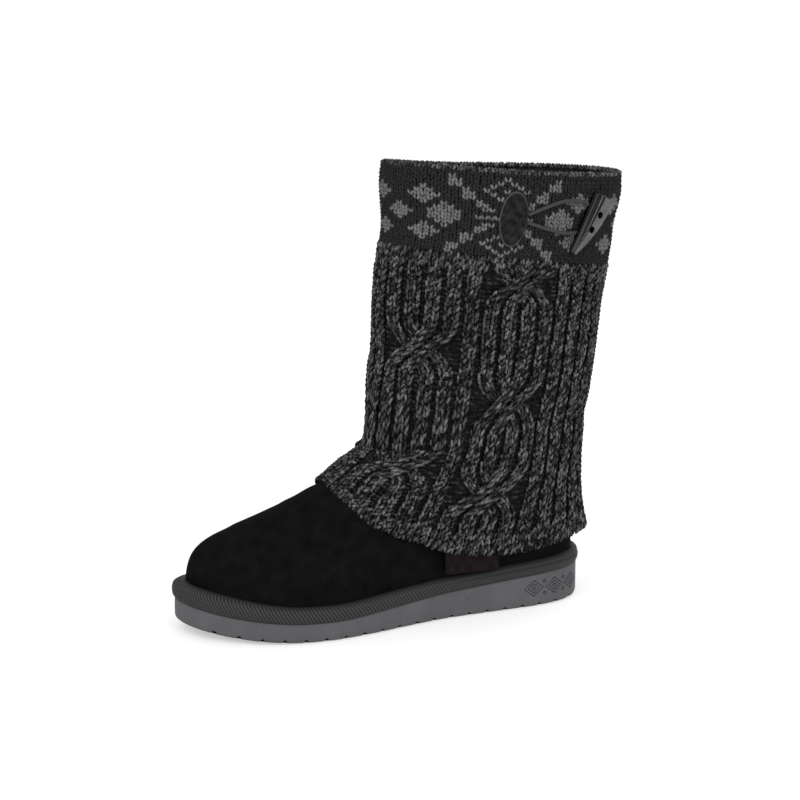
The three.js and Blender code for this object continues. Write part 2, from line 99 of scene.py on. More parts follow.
class Spline:
    """Smooth line through knots: cubic pieces, each knot's slope the harmonic mean of its two chords."""

    def __init__(self, knots: Array, values: Array) -> None:
        """Keeps the knots and works out their slopes.

        Args:
            knots: Rising places of the knots.
            values: Value at each knot.
        """
        self.knots = np.asarray(knots, float)
        self.values = np.asarray(values, float)
        chord = np.diff(self.values) / np.diff(self.knots)
        total = chord[:-1] + chord[1:]
        product = chord[:-1] * chord[1:]
        soft = np.where(product > 0, 2 * product / np.where(total == 0, 1, total), 0.0)
        self.slopes = np.concatenate([chord[:1], soft, chord[-1:]])

    def __call__(self, at: Array) -> Array:
        """Value at each place, held constant past the ends.

        Args:
            at: Places along the knots.

        Returns:
            Values of the same shape.
        """
        at = np.clip(np.asarray(at, float), self.knots[0], self.knots[-1])
        i = np.clip(np.searchsorted(self.knots, at, side="right") - 1, 0, len(self.knots) - 2)
        span = self.knots[i + 1] - self.knots[i]
        u = (at - self.knots[i]) / span
        start, end = self.slopes[i] * span, self.slopes[i + 1] * span
        return ((2 * u**3 - 3 * u**2 + 1) * self.values[i] + (u**3 - 2 * u**2 + u) * start
                + (3 * u**2 - 2 * u**3) * self.values[i + 1] + (u**3 - u**2) * end)


def grid_faces(rows: int, cols: int, wrap_rows: bool = False, wrap_cols: bool = False) -> Array:
    """Quads of a grid whose point (r, c) has index r * cols + c.

    Args:
        rows: Number of rows.
        cols: Number of columns.
        wrap_rows: Joins the last row to the first.
        wrap_cols: Joins the last column to the first.

    Returns:
        Index array of shape (faces, 4).
    """
    r = np.arange(rows if wrap_rows else rows - 1)[:, None]
    c = np.arange(cols if wrap_cols else cols - 1)[None, :]
    r1, c1 = (r + 1) % rows, (c + 1) % cols
    corners = np.broadcast_arrays(r * cols + c, r * cols + c1, r1 * cols + c1, r1 * cols + c)
    return np.stack(corners, -1).reshape(-1, 4)


def soft_noise(points: Array, size: float, seed: int) -> Array:
    """Sum of a few sine waves in fixed random directions, between about -1 and 1.

    Args:
        points: Places in millimetres, last axis of three.
        size: Wavelength in millimetres.
        seed: Number that picks the directions.

    Returns:
        One value for each place.
    """
    rng = np.random.default_rng(seed)
    waves = unit(rng.normal(size=(7, 3))) * TAU / size * rng.uniform(0.6, 1.6, (7, 1))
    return np.sin(points @ waves.T + rng.uniform(0, TAU, 7)).mean(-1) * 1.9


def make_piece(name: str, points: Array, faces: Sequence[Array], material: bpy.types.Material,
               replaces: Optional[str] = None, tone: Optional[Array] = None,
               weld: bool = False) -> bpy.types.Object:
    """Makes a smooth mesh piece that rides on the boot.

    Args:
        name: Name of the piece.
        points: Places in millimetres, of shape (count, 3).
        faces: Index arrays, one for each number of corners.
        material: Finish of the piece.
        replaces: Solid that the piece stands for.
        tone: Shade of each point from 0, dark, to 1, light.
        weld: Merges points that coincide, as at poles.

    Returns:
        The new object.
    """
    mesh = bpy.data.meshes.new(name)
    polygons: List[List[int]] = []
    for block in faces:
        polygons += block.tolist()
    mesh.from_pydata((points.reshape(-1, 3) * MM).tolist(), [], polygons)
    if tone is not None:
        layer = mesh.attributes.new(Tone.ATTRIBUTE.value, "FLOAT", "POINT")
        layer.data.foreach_set("value", np.ascontiguousarray(tone, dtype=np.float32).ravel())
    if weld:
        work = bmesh.new()
        work.from_mesh(mesh)
        bmesh.ops.remove_doubles(work, verts=work.verts, dist=WELD * MM)
        bmesh.ops.dissolve_degenerate(work, edges=work.edges, dist=SLIVER * MM)
        bmesh.ops.recalc_face_normals(work, faces=work.faces)
        work.to_mesh(mesh)
        work.free()
    mesh.shade_smooth()
    mesh.materials.append(material)
    mesh.update()
    piece = bpy.data.objects.new(name, mesh)
    bpy.context.scene.collection.objects.link(piece)
    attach(piece, BODY)
    if replaces:
        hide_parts(replaces)
    LOG.info("%s: %d faces", name, len(mesh.polygons))
    return piece


@dataclass(frozen=True)
class Finish:
    """Procedural surface: two colours mixed by noise or by a shade, a mottle, a fine bump and a gloss."""

    name: str
    dark: Colour
    light: Colour
    roughness: float
    grain: float = 1.0
    relief: float = 0.1
    mottle: float = 12.0
    spread: Tuple[float, float] = (0.35, 0.65)
    tone: Tone = Tone.NOISE
    stretch: Colour = (1.0, 1.0, 1.0)
    sheen: float = 0.0
    coat: float = 0.0
    specular: float = 0.4

    def build(self) -> bpy.types.Material:
        """Makes the material.

        Returns:
            Material on Object coordinates, or on the piece's own shade.
        """
        material = bpy.data.materials.new(self.name)
        material.use_nodes = True
        nodes, links = material.node_tree.nodes, material.node_tree.links
        shader = nodes["Principled BSDF"]
        shader.inputs["Metallic"].default_value = 0.0
        shader.inputs["Specular IOR Level"].default_value = self.specular
        shader.inputs["Sheen Weight"].default_value = self.sheen
        shader.inputs["Sheen Roughness"].default_value = SHEEN_ROUGHNESS
        shader.inputs["Coat Weight"].default_value = self.coat
        shader.inputs["Coat Roughness"].default_value = COAT_ROUGHNESS
        place = nodes.new("ShaderNodeTexCoord")
        turn = nodes.new("ShaderNodeMapping")
        turn.inputs["Scale"].default_value = self.stretch
        links.new(place.outputs["Object"], turn.inputs["Vector"])
        fine = self._noise(nodes, links, turn, self.grain, 3.0)
        broad = self._noise(nodes, links, turn, self.mottle, 2.0)
        if self.tone is Tone.ATTRIBUTE:
            source = nodes.new("ShaderNodeAttribute")
            source.attribute_name = Tone.ATTRIBUTE.value
            level = nodes.new("ShaderNodeMath")
            level.operation = "MULTIPLY_ADD"
            level.inputs[1].default_value = GRAIN_SHARE
            links.new(fine.outputs["Fac"], level.inputs[0])
            links.new(source.outputs["Fac"], level.inputs[2])
            shade = level.outputs[0]
        else:
            both = nodes.new("ShaderNodeMath")
            both.operation = "MULTIPLY_ADD"
            both.inputs[1].default_value = 0.5
            half = nodes.new("ShaderNodeMath")
            half.operation = "MULTIPLY"
            half.inputs[1].default_value = 0.5
            links.new(broad.outputs["Fac"], half.inputs[0])
            links.new(fine.outputs["Fac"], both.inputs[0])
            links.new(half.outputs[0], both.inputs[2])
            remap = nodes.new("ShaderNodeMapRange")
            remap.inputs["From Min"].default_value = self.spread[0]
            remap.inputs["From Max"].default_value = self.spread[1]
            links.new(both.outputs[0], remap.inputs["Value"])
            shade = remap.outputs["Result"]
        mix = nodes.new("ShaderNodeMix")
        mix.data_type = "RGBA"
        for socket in (s for s in mix.inputs if s.type == "RGBA"):
            socket.default_value = (*(self.dark if socket.name == "A" else self.light), 1.0)
        links.new(shade, mix.inputs["Factor"])
        colour = next(s for s in mix.outputs if s.type == "RGBA")
        links.new(colour, shader.inputs["Base Color"])
        gloss = nodes.new("ShaderNodeMapRange")
        gloss.inputs["To Min"].default_value = max(0.05, self.roughness - GLOSS_SPREAD)
        gloss.inputs["To Max"].default_value = min(1.0, self.roughness + GLOSS_SPREAD)
        links.new(broad.outputs["Fac"], gloss.inputs["Value"])
        links.new(gloss.outputs["Result"], shader.inputs["Roughness"])
        bump = nodes.new("ShaderNodeBump")
        bump.inputs["Distance"].default_value = self.relief * MM
        bump.inputs["Strength"].default_value = 1.0
        links.new(fine.outputs["Fac"], bump.inputs["Height"])
        links.new(bump.outputs["Normal"], shader.inputs["Normal"])
        return material

    @staticmethod
    def _noise(nodes: bpy.types.Nodes, links: bpy.types.NodeLinks, turn: bpy.types.Node, size: float,
               detail: float) -> bpy.types.Node:
        """Noise texture with features of about the given size in millimetres."""
        noise = nodes.new("ShaderNodeTexNoise")
        noise.inputs["Scale"].default_value = 1.0 / (size * MM)
        noise.inputs["Detail"].default_value = detail
        links.new(turn.outputs["Vector"], noise.inputs["Vector"])
        return noise


SOLE_RUBBER = Finish("sole_rubber", (0.064, 0.065, 0.069), (0.088, 0.089, 0.093), 0.62, 0.9, 0.05, 22.0,
                     specular=0.15)
SOLE_MARK = Finish("sole_mark", (0.018, 0.018, 0.02), (0.03, 0.03, 0.033), 0.8, 0.9, 0.05, specular=0.05)
# Painted shade for the notches: near-black finish of the groove_shade sheet.
GROOVE_SHADE = Finish("groove_shade", (0.004, 0.004, 0.004), (0.008, 0.008, 0.008), 0.9, 0.9, 0.05,
                      specular=0.02)
# Its tone attribute carries the rand's painted shade of ribs and groove.
RAND_RUBBER = Finish("rand_rubber", (0.014, 0.014, 0.015), (0.07, 0.07, 0.073), 0.66, 0.5, 0.06, 9.0,
                     tone=Tone.ATTRIBUTE, specular=0.15)
FLEECE = Finish("fleece", (0.03, 0.029, 0.028), (0.1, 0.097, 0.093), 0.97, 2.4, 0.9, 7.0, sheen=0.1,
                specular=0.05)
SUEDE = Finish("suede", (0.0024, 0.0024, 0.0025), (0.0064, 0.0064, 0.0066), 0.93, 0.45, 0.12, 9.0,
               specular=0.02)
LEG_YARN = Finish("leg_yarn", (0.0017, 0.0017, 0.0018), (0.168, 0.168, 0.172), 0.93, 0.35, 0.16, 8.0,
                  tone=Tone.ATTRIBUTE,
                  specular=0.03)
BAND_YARN = Finish("band_yarn", (0.0045, 0.0045, 0.0048), (0.27, 0.27, 0.275), 0.93, 0.35, 0.14, 8.0,
                   tone=Tone.ATTRIBUTE,
                   specular=0.03)
KNIT_SHADE = Finish("knit_shade", (0.003, 0.003, 0.0032), (0.02, 0.02, 0.021), 0.97, 1.1, 0.4, 5.0,
                    specular=0.02)
PATCH_SUEDE = Finish("patch_suede", (0.0035, 0.0032, 0.0034), (0.085, 0.085, 0.085), 0.93, 0.6, 0.14, 5.0,
                     tone=Tone.ATTRIBUTE,
                     sheen=0.02, specular=0.04)
CORD = Finish("cord", (0.004, 0.004, 0.004), (0.065, 0.065, 0.065), 0.75, 0.4, 0.06, 4.0,
              tone=Tone.ATTRIBUTE, specular=0.12)
HORN = Finish("horn", (0.002, 0.002, 0.0021), (0.006, 0.006, 0.0063), 0.16, 3.0, 0.004, 8.0, specular=0.2)
HORN_FACE = Finish("horn_face", (0.055, 0.056, 0.059), (0.11, 0.111, 0.115), 0.4, 1.4, 0.02, 9.0,
                   coat=0.05, specular=0.12)
WOVEN_TAB = Finish("woven_tab", (0.0035, 0.0028, 0.003), (0.013, 0.0088, 0.0095), 0.9, 0.5, 0.12, 3.0,
                   tone=Tone.ATTRIBUTE,
                   specular=0.04)
FLOOR = Finish("floor", (0.56, 0.56, 0.56), (0.57, 0.57, 0.57), 0.9, 40.0, 0.0, 300.0, specular=0.0)


@dataclass
class BootForm:
    """The boot's own form: sole plan, arched foot and leg, shared by every sub-assembly."""

    length: float = 270.0
    spring: float = 7.4
    spring_start: float = 195.0
    gap: float = 0.3
    throat: float = 103.0
    flare: float = 0.22
    arch_power: float = 0.95
    leg_power: float = 0.94
    hem_power: float = 0.66
    hem_ends: Tuple[float, float] = (176.5, -3.2)
    hem_sides: Tuple[float, float] = (40.0, 37.0)
    plan: Table = ((0, 0, 0), (4, 14.6, 14.6), (12, 24.7, 24.7), (28, 32.5, 32.5), (48, 35.4, 35.4),
                   (75, 35.9, 34),
                   (105, 36.9, 30.6), (135, 41.7, 30.1), (160, 46.6, 34.9), (185, 49.5, 42.2),
                   (205, 48, 45.6),
                   (225, 42.7, 44.6), (245, 32, 37.3), (258, 20.9, 27.6), (266, 9.2, 17.5), (270, -6, 6))
    top: Table = ((0, 22.4), (25, 22), (56, 20.4), (100, 17.6), (143, 14.6), (185, 12), (270, 13.5))
    foot_inset: Table = ((0, 3.6), (60, 3.6), (150, 4.6), (215, 5.6), (270, 6.6))
    ridge: Table = ((0, 165), (112, 165), (124, 128), (134, 104), (146, 94), (160, 90), (178, 86),
                    (191, 79.6),
                    (206, 73), (222, 66.8), (238, 61), (251, 55.6), (258, 50), (261.8, 42), (263.6, 22))
    hem: Table = ((0, 88, 0.6), (25, 79, 1.4), (40, 69, 2.4), (56, 60.5, 3), (74, 51, 2), (86, 42.5, 1.5),
                  (96, 38.5, 1), (112, 40.3, 0), (140, 45, -2), (180, 47, -3.5))
    leg: Table = ((1, 114, -7.5, 145.5, -0.9, 44, 42), (1.13, 140, 2, 142.3, -5.4, 44.5, 43),
                  (1.3, 165, 3, 139.6, -9.2, 45, 44), (1.48, 193, 4, 138, -12.8, 45.5, 45),
                  (1.655, 218, 4.8, 136.2, -16.4, 46, 45.5), (1.82, 245, 5, 132.4, -20, 46.5, 46),
                  (1.95, 268, 4.8, 134, -25.8, 48, 47.5), (2, 277.5, 4.5, 133, -25.5, 48, 47.5))

    def __post_init__(self) -> None:
        """Makes the splines of the tables."""
        rows = np.array(self.plan, float)
        turn = np.arccos(1 - 2 * rows[:, 0] / self.length)
        self._plan = (Spline(turn, rows[:, 1]), Spline(turn, rows[:, 2]))
        self._top = column(self.top, 0, 1)
        self._inset = column(self.foot_inset, 0, 1)
        self._ridge = column(self.ridge, 0, 1)
        self._hem = [column(self.hem, 0, i) for i in (1, 2)]
        self._leg = [column(self.leg, 0, i) for i in range(1, 7)]

    def place(self, x: Array, s: Array, z: Array) -> Array:
        """Point at side x, length s from the heel's back and height z."""
        return np.stack(np.broadcast_arrays(x, self.length / 2 - np.asarray(s), z), -1)

    def lift(self, s: Array) -> Array:
        """Rise of the sole's underside towards the toe."""
        share = (np.asarray(s) - self.spring_start) / (self.length - self.spring_start)
        return self.spring * np.maximum(0, share) ** 2

    def sole_top(self, s: Array) -> Array:
        """Height of the sole's top."""
        return self._top(s) + self.lift(s)

    def inset(self, s: Array) -> Array:
        """Distance of the upper's foot from the sole's edge."""
        return self._inset(s)

    def outline(self, stations: int) -> Array:
        """Sole's plan as a closed ring (x, s): outer side from heel to toe, then inner side back.

        Args:
            stations: Number of steps along one side.

        Returns:
            Array of shape (2 * stations, 2).
        """
        turn = np.linspace(0, np.pi, stations + 1)
        s = self.length * (1 - np.cos(turn)) / 2
        outer = np.stack([self._plan[0](turn), s], -1)
        inner = np.stack([-self._plan[1](turn), s], -1)[1:-1][::-1]
        return np.concatenate([outer, inner])

    @staticmethod
    def moved(ring: Array, distance: Array) -> Array:
        """Ring moved out in plan by a distance along its own normal, taken from its neighbours."""
        step = np.roll(ring, -1, 0) - np.roll(ring, 1, 0)
        out = unit(np.stack([step[:, 1], -step[:, 0]], -1))
        return ring + out * np.broadcast_to(distance, len(ring))[:, None]

    def foot(self, grow: float, sections: int, steps: int) -> Array:
        """Arched sections of the foot from heel to toe, each from its outer to its inner rim.

        A section's point lies at the rim's middle plus its half width times the cosine, and rises from
        the sole
        to the ridge with the sine, both to a power; the ankle flares with height.

        Args:
            grow: Distance outside the upper's face.
            sections: Number of steps along the foot.
            steps: Number of steps across a section.

        Returns:
            Points of shape (sections + 1, steps + 1, 3).
        """
        ring = self.outline(sections)
        ring = self.moved(ring, grow - self.inset(ring[:, 1]))
        k = np.arange(sections + 1)
        outer, inner = ring[k], ring[(len(ring) - k) % len(ring)]
        s = ((outer + inner) / 2)[:, 1:2]
        floor = self.sole_top(s) + self.gap
        ridge = np.maximum(self._ridge(s - grow) + grow, floor + self.gap)
        turn = np.linspace(0, np.pi, steps + 1)[None, :]
        across = spow(np.cos(turn), self.arch_power)
        z = floor + (ridge - floor) * np.abs(np.sin(turn)) ** self.arch_power
        wide = 1 + self.flare * ease(158, 118, s) * ease(34, self.throat, z)
        middle, half = (outer + inner) / 2, (outer - inner) / 2
        return self.place(middle[:, :1] + half[:, :1] * across * wide,
                          middle[:, 1:] + half[:, 1:] * across, z)

    def leg_point(self, degrees: Array, level: Array) -> Array:
        """Leg's smooth face: level 0 at the hem, 1 at the ankle, 2 at the collar.

        Above the ankle a ring is an oval with cosine and sine to a power, tilted to the front. Below it
        the ring
        goes straight to the hem and swells by a hump that is zero at both ends.

        Args:
            degrees: Angle round from the front, growing to the outer side.
            level: Height along the leg.

        Returns:
            Points, with a last axis of three.
        """
        degrees, level = np.broadcast_arrays(np.asarray(degrees, float), np.asarray(level, float))
        turn = np.radians(degrees)
        ahead, aside = np.cos(turn), np.sin(turn)
        height, tilt, front, back, lateral, medial = (line(np.maximum(level, 1)) for line in self._leg)
        width = np.where(aside > 0, lateral, medial)
        ring = self.place(width * spow(aside, self.leg_power),
                          (front + back) / 2 + (front - back) / 2 * spow(ahead, self.leg_power),
                          height + tilt * ahead)
        away = np.degrees(np.arccos(np.clip(ahead, -1, 1)))
        rise, bulge = (line(away) for line in self._hem)
        hem_front, hem_back = self.hem_ends
        hem = self.place(np.where(aside > 0, *self.hem_sides) * spow(aside, self.hem_power),
                         (hem_front + hem_back) / 2 + (hem_front - hem_back) / 2 * spow(ahead,
                                                                                        self.hem_power), rise)
        low = np.clip(level, 0, 1)[..., None]
        swell = (bulge * 6.75)[..., None] * low * (1 - low) ** 2
        out = np.stack([aside, -ahead, np.zeros_like(ahead)], -1)
        return hem + (ring - hem) * low + out * swell

    def leg_normal(self, degrees: Array, level: Array) -> Array:
        """Outward direction of the leg's face."""
        above = self.leg_point(degrees, np.minimum(2, level + 0.02))
        below = self.leg_point(degrees, np.maximum(0, level - 0.02))
        round_ = self.leg_point(degrees + 1.0, level) - self.leg_point(degrees - 1.0, level)
        return unit(np.cross(round_, above - below))

    def leg_spot(self, degrees: Array, height: Array, off: Array) -> Array:
        """Point off the leg's face at an angle and a height over the floor, found by halving."""
        low, high = np.broadcast_arrays(np.zeros_like(degrees, float), np.full_like(degrees, 2.0, float))
        for _ in range(24):
            middle = (low + high) / 2
            below = self.leg_point(degrees, middle)[..., 2] < height
            low, high = np.where(below, middle, low), np.where(below, high, middle)
        return self.leg_point(degrees, low) + self.leg_normal(degrees, low) * np.asarray(off)[..., None]


@dataclass
class Sole:
    """Moulded sole with notches, its heel ornament, the ribbed rand and the footbed."""

    form: BootForm
    stations: int = 460
    rand_stations: int = 820
    groove_first: float = 15.3
    groove_pitch: float = 12.6
    groove_last: float = 258.0
    groove_half: float = 1.5
    groove_depth: float = 2.4
    rand_height: float = 8.8
    rand_toe_rise: float = 2.6
    rib_pitch: float = 2.3
    rib_height: float = 0.34
    line_depth: float = 0.75
    lozenge_spots: Tuple[float, ...] = (63.4, 47.4, 31.4)
    lozenge_half: Tuple[float, float] = (7.0, 5.2)
    lozenge_scales: Tuple[float, ...] = (1.0, 0.6, 0.22)
    lozenge_line: float = 0.36
    lozenge_height: float = 12.2
    shade_rings: Table = ((-3.4, 0.12), (-2.5, 0.12), (-1.65, 0.4), (-0.95, 0.95), (-0.5, 1.8), (-0.4, 3.2),
                          (-3.4, 3.2))
    rand_rings: Table = ((0, 0.3, 0, 0), (1, 1.2, 0, 0.2), (2, 1.4, 0, 0.48), (3, 0.6, 0, 0.76),
                         (4, 0, -0.32, 0.93),
                         (5, 0, -0.72, 1), (6, -3, -1, 0.97), (7, -3, -1, 0))

    def groove(self, s: Array) -> Array:
        """Height of the grooves' roof: half ovals spaced along the sole, zero between them."""
        count = int((self.groove_last - self.groove_first) / self.groove_pitch)
        nearest = np.clip(np.round((s - self.groove_first) / self.groove_pitch), 0, count)
        away = (s - self.groove_first - nearest * self.groove_pitch) / self.groove_half
        return self.groove_depth * np.sqrt(np.maximum(0, 1 - away**2))

    def build_outsole(self) -> None:
        """Side wall as rings moved from the plan, lifted to the grooves' roof, and ruled top and bottom."""
        base = self.form.outline(self.stations)
        rim = ((-2.2, 0.0, 0), (-1.3, 0.25, 0), (-0.6, 0.8, 0), (-0.15, 1.7, 0), (0.1, 2.8, 0),
               (0.12, 0.4, 0.5),
               (0.1, 0.0, 0.6), (0.06, -1.8, 1), (0, -1.0, 1), (-0.3, -0.3, 1), (-0.9, 0, 1))
        rings = []
        for offset, up, share in rim:
            ring = self.form.moved(base, offset)
            s = ring[:, 1]
            foot = self.form.lift(s)
            z = foot + up + share * (self.form.sole_top(s) - foot)
            rings.append(self.form.place(ring[:, 0], s, np.maximum(z, foot + self.groove(s))))
        wall = np.stack(rings)
        rows, count = wall.shape[:2]
        k = np.arange(self.stations + 1)
        mirror = (count - k) % count
        mix = np.linspace(0, 1, 2)[:, None, None]
        under = (wall[0][k] * (1 - mix) + wall[0][mirror] * mix).reshape(-1, 3)
        over = (wall[-1][k] * (1 - mix) + wall[-1][mirror] * mix).reshape(-1, 3)
        points = np.concatenate([wall.reshape(-1, 3), under, over])
        sheet = grid_faces(2, self.stations + 1)
        faces = [grid_faces(rows, count, wrap_cols=True), sheet[:, ::-1] + rows * count,
                 sheet + rows * count + len(under)]
        make_piece("sole_body", points, faces, SOLE_RUBBER.build(), "outsole", weld=True)

    def build_groove_shade(self) -> None:
        """Painted shade: a dark sheet a little inside the plan, low down, that closes the grooves' ends."""
        base = self.form.outline(self.stations)
        rings = []
        for offset, up in self.shade_rings:
            ring = self.form.moved(base, offset)
            rings.append(self.form.place(ring[:, 0], ring[:, 1], self.form.lift(ring[:, 1]) + up))
        make_piece("groove_shade", np.stack(rings), [grid_faces(len(rings), len(base), True, True)],
                   GROOVE_SHADE.build())

    def wall(self, side: Side, run: Array, z: Array, off: Array) -> Array:
        """Point of the sole's side at a run from the heel's middle, a height and a distance out."""
        ring = self.form.outline(self.stations)
        ordered = ring if side is Side.LATERAL else np.roll(ring[::-1], 1, 0)
        half = ordered[: self.stations + 1]
        arc = np.concatenate([[0], np.cumsum(np.linalg.norm(np.diff(half, axis=0), axis=1))])
        at, ahead, behind = (np.stack([np.interp(run + by, arc, half[:, i]) for i in (0, 1)], -1)
                             for by in (0.0, 0.5, -0.5))
        step = ahead - behind
        out = unit(np.stack([step[..., 1], -step[..., 0]], -1)) * side.value
        at = at + out * np.asarray(off)[..., None]
        return self.form.place(at[..., 0], at[..., 1], z)

    def build_ornament(self) -> None:
        """Nested lozenge outlines as thin raised strips: a flat section carried round each lozenge."""
        corner = np.linspace(0, 4, 33)[:-1]
        u = np.abs((corner + 1) % 4 - 2) - 1
        v = np.abs(corner % 4 - 2) - 1
        line = self.lozenge_line
        section = ((-line, -0.2), (-line, 0.16), (line, 0.16), (line, -0.2))
        wide, tall = self.lozenge_half
        nested = [(spot, 0.0, scale * wide, scale * tall)
                  for spot in self.lozenge_spots for scale in self.lozenge_scales]
        between = [(spot - wide - 1.0, up, 1.3, 1.1) for spot in self.lozenge_spots[:2] for up in (-3.9,
                                                                                                   3.9)]
        points, faces = [], []
        for side in Side:
            for spot, up, half, high in nested + between:
                rings = [self.wall(side, spot + u * (half + d), self.lozenge_height + up + v * (high + d),
                                   np.full(u.shape, h)) for d, h in section]
                faces.append(grid_faces(4, len(u), True, True) + sum(len(p) for p in points))
                points.append(np.stack(rings).reshape(-1, 3))
        make_piece("heel_ornament", np.concatenate(points), faces, SOLE_MARK.build(),
                   weld=True)

    def build_rand(self) -> None:
        """Rand's section carried round the sole, with slanted ribs and a long groove at the heel."""
        base = self.form.outline(self.rand_stations)
        arc = np.cumsum(np.linalg.norm(base - np.roll(base, 1, 0), axis=1))
        steps = np.concatenate([np.linspace(0, 5, 22), [5.4, 5.8, 6.0, 6.5, 7.0]])
        lines = [column(self.rand_rings, 0, i) for i in (1, 2, 3)]
        rings, tones = [], []
        for step in steps:
            offset, inset, rise = (float(line(step)) for line in lines)
            s0 = base[:, 1]
            tall = self.rand_height + self.rand_toe_rise * ease(205, 262, s0)
            mask = ease(0, 0.5, step) * ease(5.2, 4.2, step) * ease(60, 150, s0)
            lateral = np.where(base[:, 0] > 0, 1.0, -1.0)
            wave = np.cos(TAU * (arc / self.rib_pitch - lateral * rise * tall / (1.5 * self.rib_pitch)))
            line = np.exp(-((rise - 0.58) / 0.06) ** 2) * ease(150, 60, s0)
            relief = mask * self.rib_height * wave - self.line_depth * line * (step < 5)
            out = offset + inset * self.form.inset(s0) + relief
            ring = self.form.moved(base, out)
            s = ring[:, 1]
            rings.append(self.form.place(ring[:, 0], s,
                                         self.form.sole_top(s) + self.form.gap + rise * tall))
            # Painted shade: lighter on rib crests, darker in rib troughs and the heel's groove line; darker
            # towards the top.
            tones.append(0.16 + mask * (0.06 + 0.3 * wave) - 0.19 * line - 0.2 * ease(3.0, 4.6, step))
        make_piece("rand_strip", np.stack(rings), [grid_faces(len(steps), len(base), True, True)],
                   RAND_RUBBER.build(),
                   "rand", tone=np.stack(tones))

    def build_footbed(self) -> None:
        """Footbed: a rounded edge round the plan and a curled fleece top."""
        base = self.form.outline(150)
        k = np.arange(151)
        rows = []
        for inset, up in ((0, 0.0), (0, 2.2), (0.3, 3.2), (1.1, 3.9)):
            ring = self.form.moved(base, -self.form.inset(base[:, 1]) - 3.4 - inset)
            rows.append(self.form.place(ring[:, 0], ring[:, 1],
                                        self.form.sole_top(ring[:, 1]) + self.form.gap + up))
        wall = np.stack(rows)
        count = wall.shape[1]
        mirror = (count - k) % count
        mix = np.linspace(0, 1, 41)[:, None, None]
        over = wall[-1][k] * (1 - mix) + wall[-1][mirror] * mix
        edge = np.minimum(1, 4 * np.minimum(mix, 1 - mix))[..., 0]
        over[..., 2] += edge * (0.7 * soft_noise(over, 5.0, 3) + 0.4 * soft_noise(over, 2.6, 4) - 0.4)
        under = wall[0][k] * (1 - mix) + wall[0][mirror] * mix
        points = np.concatenate([wall.reshape(-1, 3), under.reshape(-1, 3), over.reshape(-1, 3)])
        sheet = grid_faces(41, 151)
        faces = [grid_faces(4, count, wrap_cols=True), sheet[:, ::-1] + 4 * count,
                 sheet + 4 * count + 41 * 151]
        make_piece("footbed", points, faces, FLEECE.build(), "insole", weld=True)

    def build(self) -> None:
        """Makes the five pieces."""
        self.build_outsole()
        self.build_groove_shade()
        self.build_ornament()
        self.build_rand()
        self.build_footbed()


@dataclass
class Foot:
    """Suede foot with creases, and its fleece lining."""

    form: BootForm
    sections: int = 170
    steps: int = 72
    suede_wall: float = 1.3
    lining_wall: float = 1.3
    creases: Table = ((181, 38, 62, 26, 4.5, 0.75), (193, 50, 58, 22, 4.2, 0.6),
                      (170, 30, 70, 20, 4.0, 0.6),
                      (150, 14, 30, 30, 4.2, 0.55), (178, 142, 118, 26, 4.5, 0.75),
                      (192, 128, 122, 22, 4.2, 0.6),
                      (166, 150, 110, 20, 4.0, 0.6), (212, 66, 80, 18, 4.6, 0.4),
                      (236, 96, 95, 14, 5.0, 0.35))

    def crease(self, points: Array) -> Array:
        """Depth of the creases: each a trough with a soft ridge on both sides, fading along its length.

        Args:
            points: Sections of the foot.

        Returns:
            Distance outward at each point.
        """
        rows, cols = points.shape[:2]
        s = self.form.length / 2 - points[..., 1]
        across = np.broadcast_to(np.linspace(0, 180, cols), (rows, cols))
        total = np.zeros((rows, cols))
        for at, turn, lean, length, width, depth in self.creases:
            u, v = s - at, (across - turn) * 0.75
            c, q = np.cos(np.radians(lean)), np.sin(np.radians(lean))
            run, off = u * c + v * q, (-u * q + v * c) / width
            total -= depth * (1 - 0.9 * off**2) * np.exp(-(off**2)) * np.exp(-((run / length) ** 2))
        return total

    def shell(self, name: str, grow: float, wall: float, finish: Finish, replaces: Optional[str],
              curl: float) -> None:
        """Open shell of the foot, cut level at the throat, with a wall towards the inside.

        Args:
            name: Name of the piece.
            grow: Distance of its outer face from the upper's.
            wall: Thickness.
            finish: Finish of the shell.
            replaces: Solid it stands for, if any.
            curl: Height of the pile's curls.
        """
        points = self.form.foot(grow, self.sections, self.steps)
        rise = np.gradient(points, axis=1)
        run = np.gradient(points, axis=0)
        normal = unit(np.cross(run, rise))
        inner = (self.form.place(0, self.form.length / 2 - points[..., 1], 30) - points)
        normal *= -np.sign((normal * inner).sum(-1, keepdims=True) + 1e-9)
        up, along = (np.minimum(np.linspace(0, 1, count), np.linspace(1, 0, count))
                     for count in (self.steps + 1, self.sections + 1))
        edge, ends = ease(0, 0.12, up)[None, :], ease(0, 0.06, along)[:, None]
        puff = 0.25 * soft_noise(points, 38.0, 11) + curl * soft_noise(points, 3.4, 12)
        points = points + normal * ((self.crease(points) + puff) * edge * ends)[..., None]
        faces = grid_faces(self.sections + 1, self.steps + 1)
        high = points[..., 2].reshape(-1) >= self.form.throat
        faces = faces[~high[faces].all(-1)]
        points[..., 2] = np.minimum(points[..., 2], self.form.throat)
        piece = make_piece(name, points, [faces], finish.build(), replaces, weld=True)
        self._clean(piece)
        thick = piece.modifiers.new("wall", "SOLIDIFY")
        thick.thickness = wall * MM
        thick.offset = -1.0
        thick.use_even_offset = False

    @staticmethod
    def _clean(piece: bpy.types.Object) -> None:
        """Drops points without faces and turns the faces outward, away from the foot's inside."""
        work = bmesh.new()
        work.from_mesh(piece.data)
        bmesh.ops.delete(work, geom=[v for v in work.verts if not v.link_faces], context="VERTS")
        side = max(work.faces, key=lambda f: f.calc_center_median().x)
        if side.normal.x < 0:
            bmesh.ops.reverse_faces(work, faces=work.faces)
        work.to_mesh(piece.data)
        work.free()
        piece.data.shade_smooth()

    def build(self) -> None:
        """Makes the suede and the lining."""
        self.shell("foot_suede", 0.0, self.suede_wall, SUEDE, "upper", 0.0)
        self.shell("foot_lining", -self.suede_wall - 0.25, self.lining_wall, FLEECE, None, 0.3)


